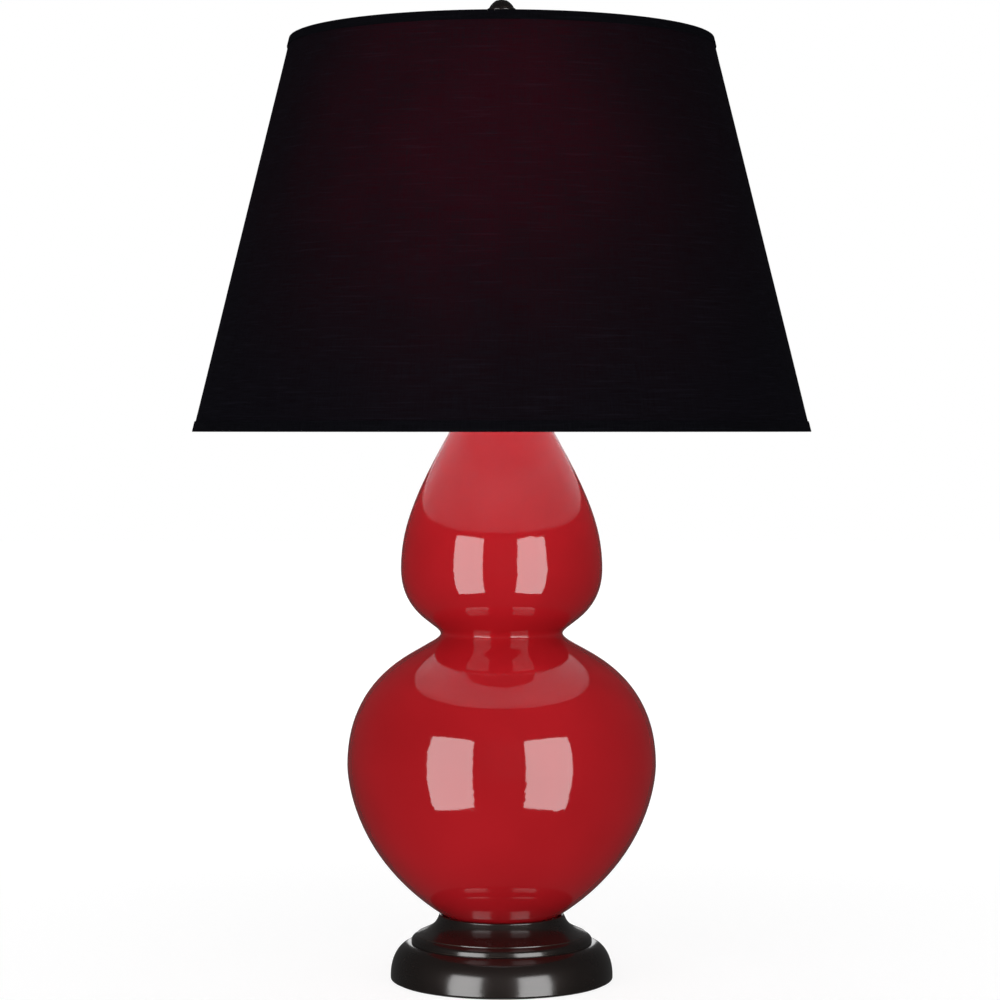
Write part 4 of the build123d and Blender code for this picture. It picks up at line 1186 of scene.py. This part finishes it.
def build_seam(scene, radius_at):
    """The lap seam down the back: the cloth's folded end, a little proud and not quite straight."""
    low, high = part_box("shade_seam")
    rows, waves_up, sharp = 60, 40, 50.0
    half = high.x
    edge, proud, under, waver = 0.00005, 0.0005, -0.0002, 0.0004
    section = [(-1.0, edge), (-0.96, proud), (0.0, 1.15 * proud), (0.90, proud), (1.0, edge)]
    section += [(0.9, under), (-0.9, under)]
    points, faces = [], []
    for row in range(rows + 1):
        height = low.z + (high.z - low.z) * row / rows
        stray = waver * noise.noise(Vector((0.3, waves_up * height, 2.0)))
        for across, out in section:
            reach = radius_at(height) + out
            turn = (half * across + stray) / reach
            points.append((-reach * math.sin(turn), reach * math.cos(turn), height))
    count = len(section)
    for row in range(rows):
        for index in range(count):
            after = (index + 1) % count
            here, there = row * count, (row + 1) * count
            faces.append((here + index, here + after, there + after, there + index))
    faces.append(tuple(reversed(range(count))))
    faces.append(tuple(range(rows * count, (rows + 1) * count)))
    seam = smooth_mesh("shade_lap_seam", points, faces, sharp)
    return dressed(seam, "shade", "shade_linen", scene, "shade_seam")


def build_binding(scene, name, node, radius_at, stretch):
    """Tape folded over a rim: rounded at its fold, puckered, with its turned edge inside."""
    settings = scene.lamp_shade
    low, high = (corner.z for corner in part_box(node))
    thick = settings.trim_thickness
    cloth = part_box("shade_fabric")
    at_top = high > cloth[1].z
    rim, band = (high, low) if at_top else (low, high)
    inwards = -1 if at_top else 1
    turned_in, lip_depth, corner_round = 0.0008, 0.0006, 0.9
    puckered, pucker_round, pucker_up = 0.00012, 26, 300
    uneven, uneven_round, layer = 0.00018, 60, 3.0
    lip = rim + inwards * lip_depth
    inner = settings.cloth_thickness + turned_in
    corners = [(-thick, rim), (-thick, band), (0.0, band), (0.0, lip), (inner, lip), (inner, rim)]
    corners = [(radius_at(height) - inset * stretch, height) for inset, height in corners]
    if at_top:
        corners.reverse()
    outline = rounded(corners, corner_round * thick)

    def pucker(turn, radius, height):
        outside = radius > radius_at(height) + 0.4 * thick
        fold = abs(height - rim) < 0.5 * abs(rim - band)
        if not outside:
            return 0.0, 0.0
        away = -puckered * abs(round_noise(turn, pucker_round, pucker_up * height))
        rise = 0.0 if fold else uneven * round_noise(turn, uneven_round, layer)
        return away, rise

    binding = turned_mesh(name, outline, 2 * FINE_STEPS, pucker)
    return dressed(binding, "shade", "trim_tape", scene, node)


class LAMP_OT_finial(Operator):
    """Finish the turned finial and its threaded bush"""

    bl_idname = "lamp.finial"
    bl_label = "Finial"

    def execute(self, context):
        finish_nodes(context.scene, {
            "dark_bronze": ["finial_knob"],
            "contact_brass": ["finial_insert"],
        })
        return {"FINISHED"}


class LAMP_PT_sidebar(Panel):
    """Lists the steps and the settings"""

    bl_idname = "LAMP_PT_sidebar"
    bl_label = "Double gourd lamp"
    bl_space_type = "VIEW_3D"
    bl_region_type = "UI"
    bl_category = "Lamp"

    def draw(self, context):
        layout = self.layout
        for step in STEPS:
            layout.operator(step.bl_idname)
        for name, kind in SETTINGS.items():
            box = layout.box()
            group = getattr(context.scene, name)
            for entry in kind.__annotations__:
                box.prop(group, entry)


SETTINGS = {
    "lamp_studio": StudioSettings,
    "lamp_glaze": GlazeSettings,
    "lamp_bronze": BronzeSettings,
    "lamp_shade": ShadeSettings,
    "lamp_bulb": BulbSettings,
}
STEPS = (
    LAMP_OT_studio,
    LAMP_OT_base,
    LAMP_OT_body,
    LAMP_OT_neck,
    LAMP_OT_socket,
    LAMP_OT_bulb,
    LAMP_OT_shade,
    LAMP_OT_finial,
)


def register():
    """Registers the settings, the steps and the panel."""
    for kind in (*SETTINGS.values(), *STEPS, LAMP_PT_sidebar):
        bpy.utils.register_class(kind)
    for name, kind in SETTINGS.items():
        setattr(bpy.types.Scene, name, PointerProperty(type=kind))


def unregister():
    """Takes them out again."""
    for name in SETTINGS:
        delattr(bpy.types.Scene, name)
    for kind in reversed((*SETTINGS.values(), *STEPS, LAMP_PT_sidebar)):
        bpy.utils.unregister_class(kind)


def main():
    """Builds the looks round the frame."""
    register()
    for step in STEPS:
        group, name = step.bl_idname.split(".")
        getattr(getattr(bpy.ops, group), name)()


if __name__ == "__main__":
    main()
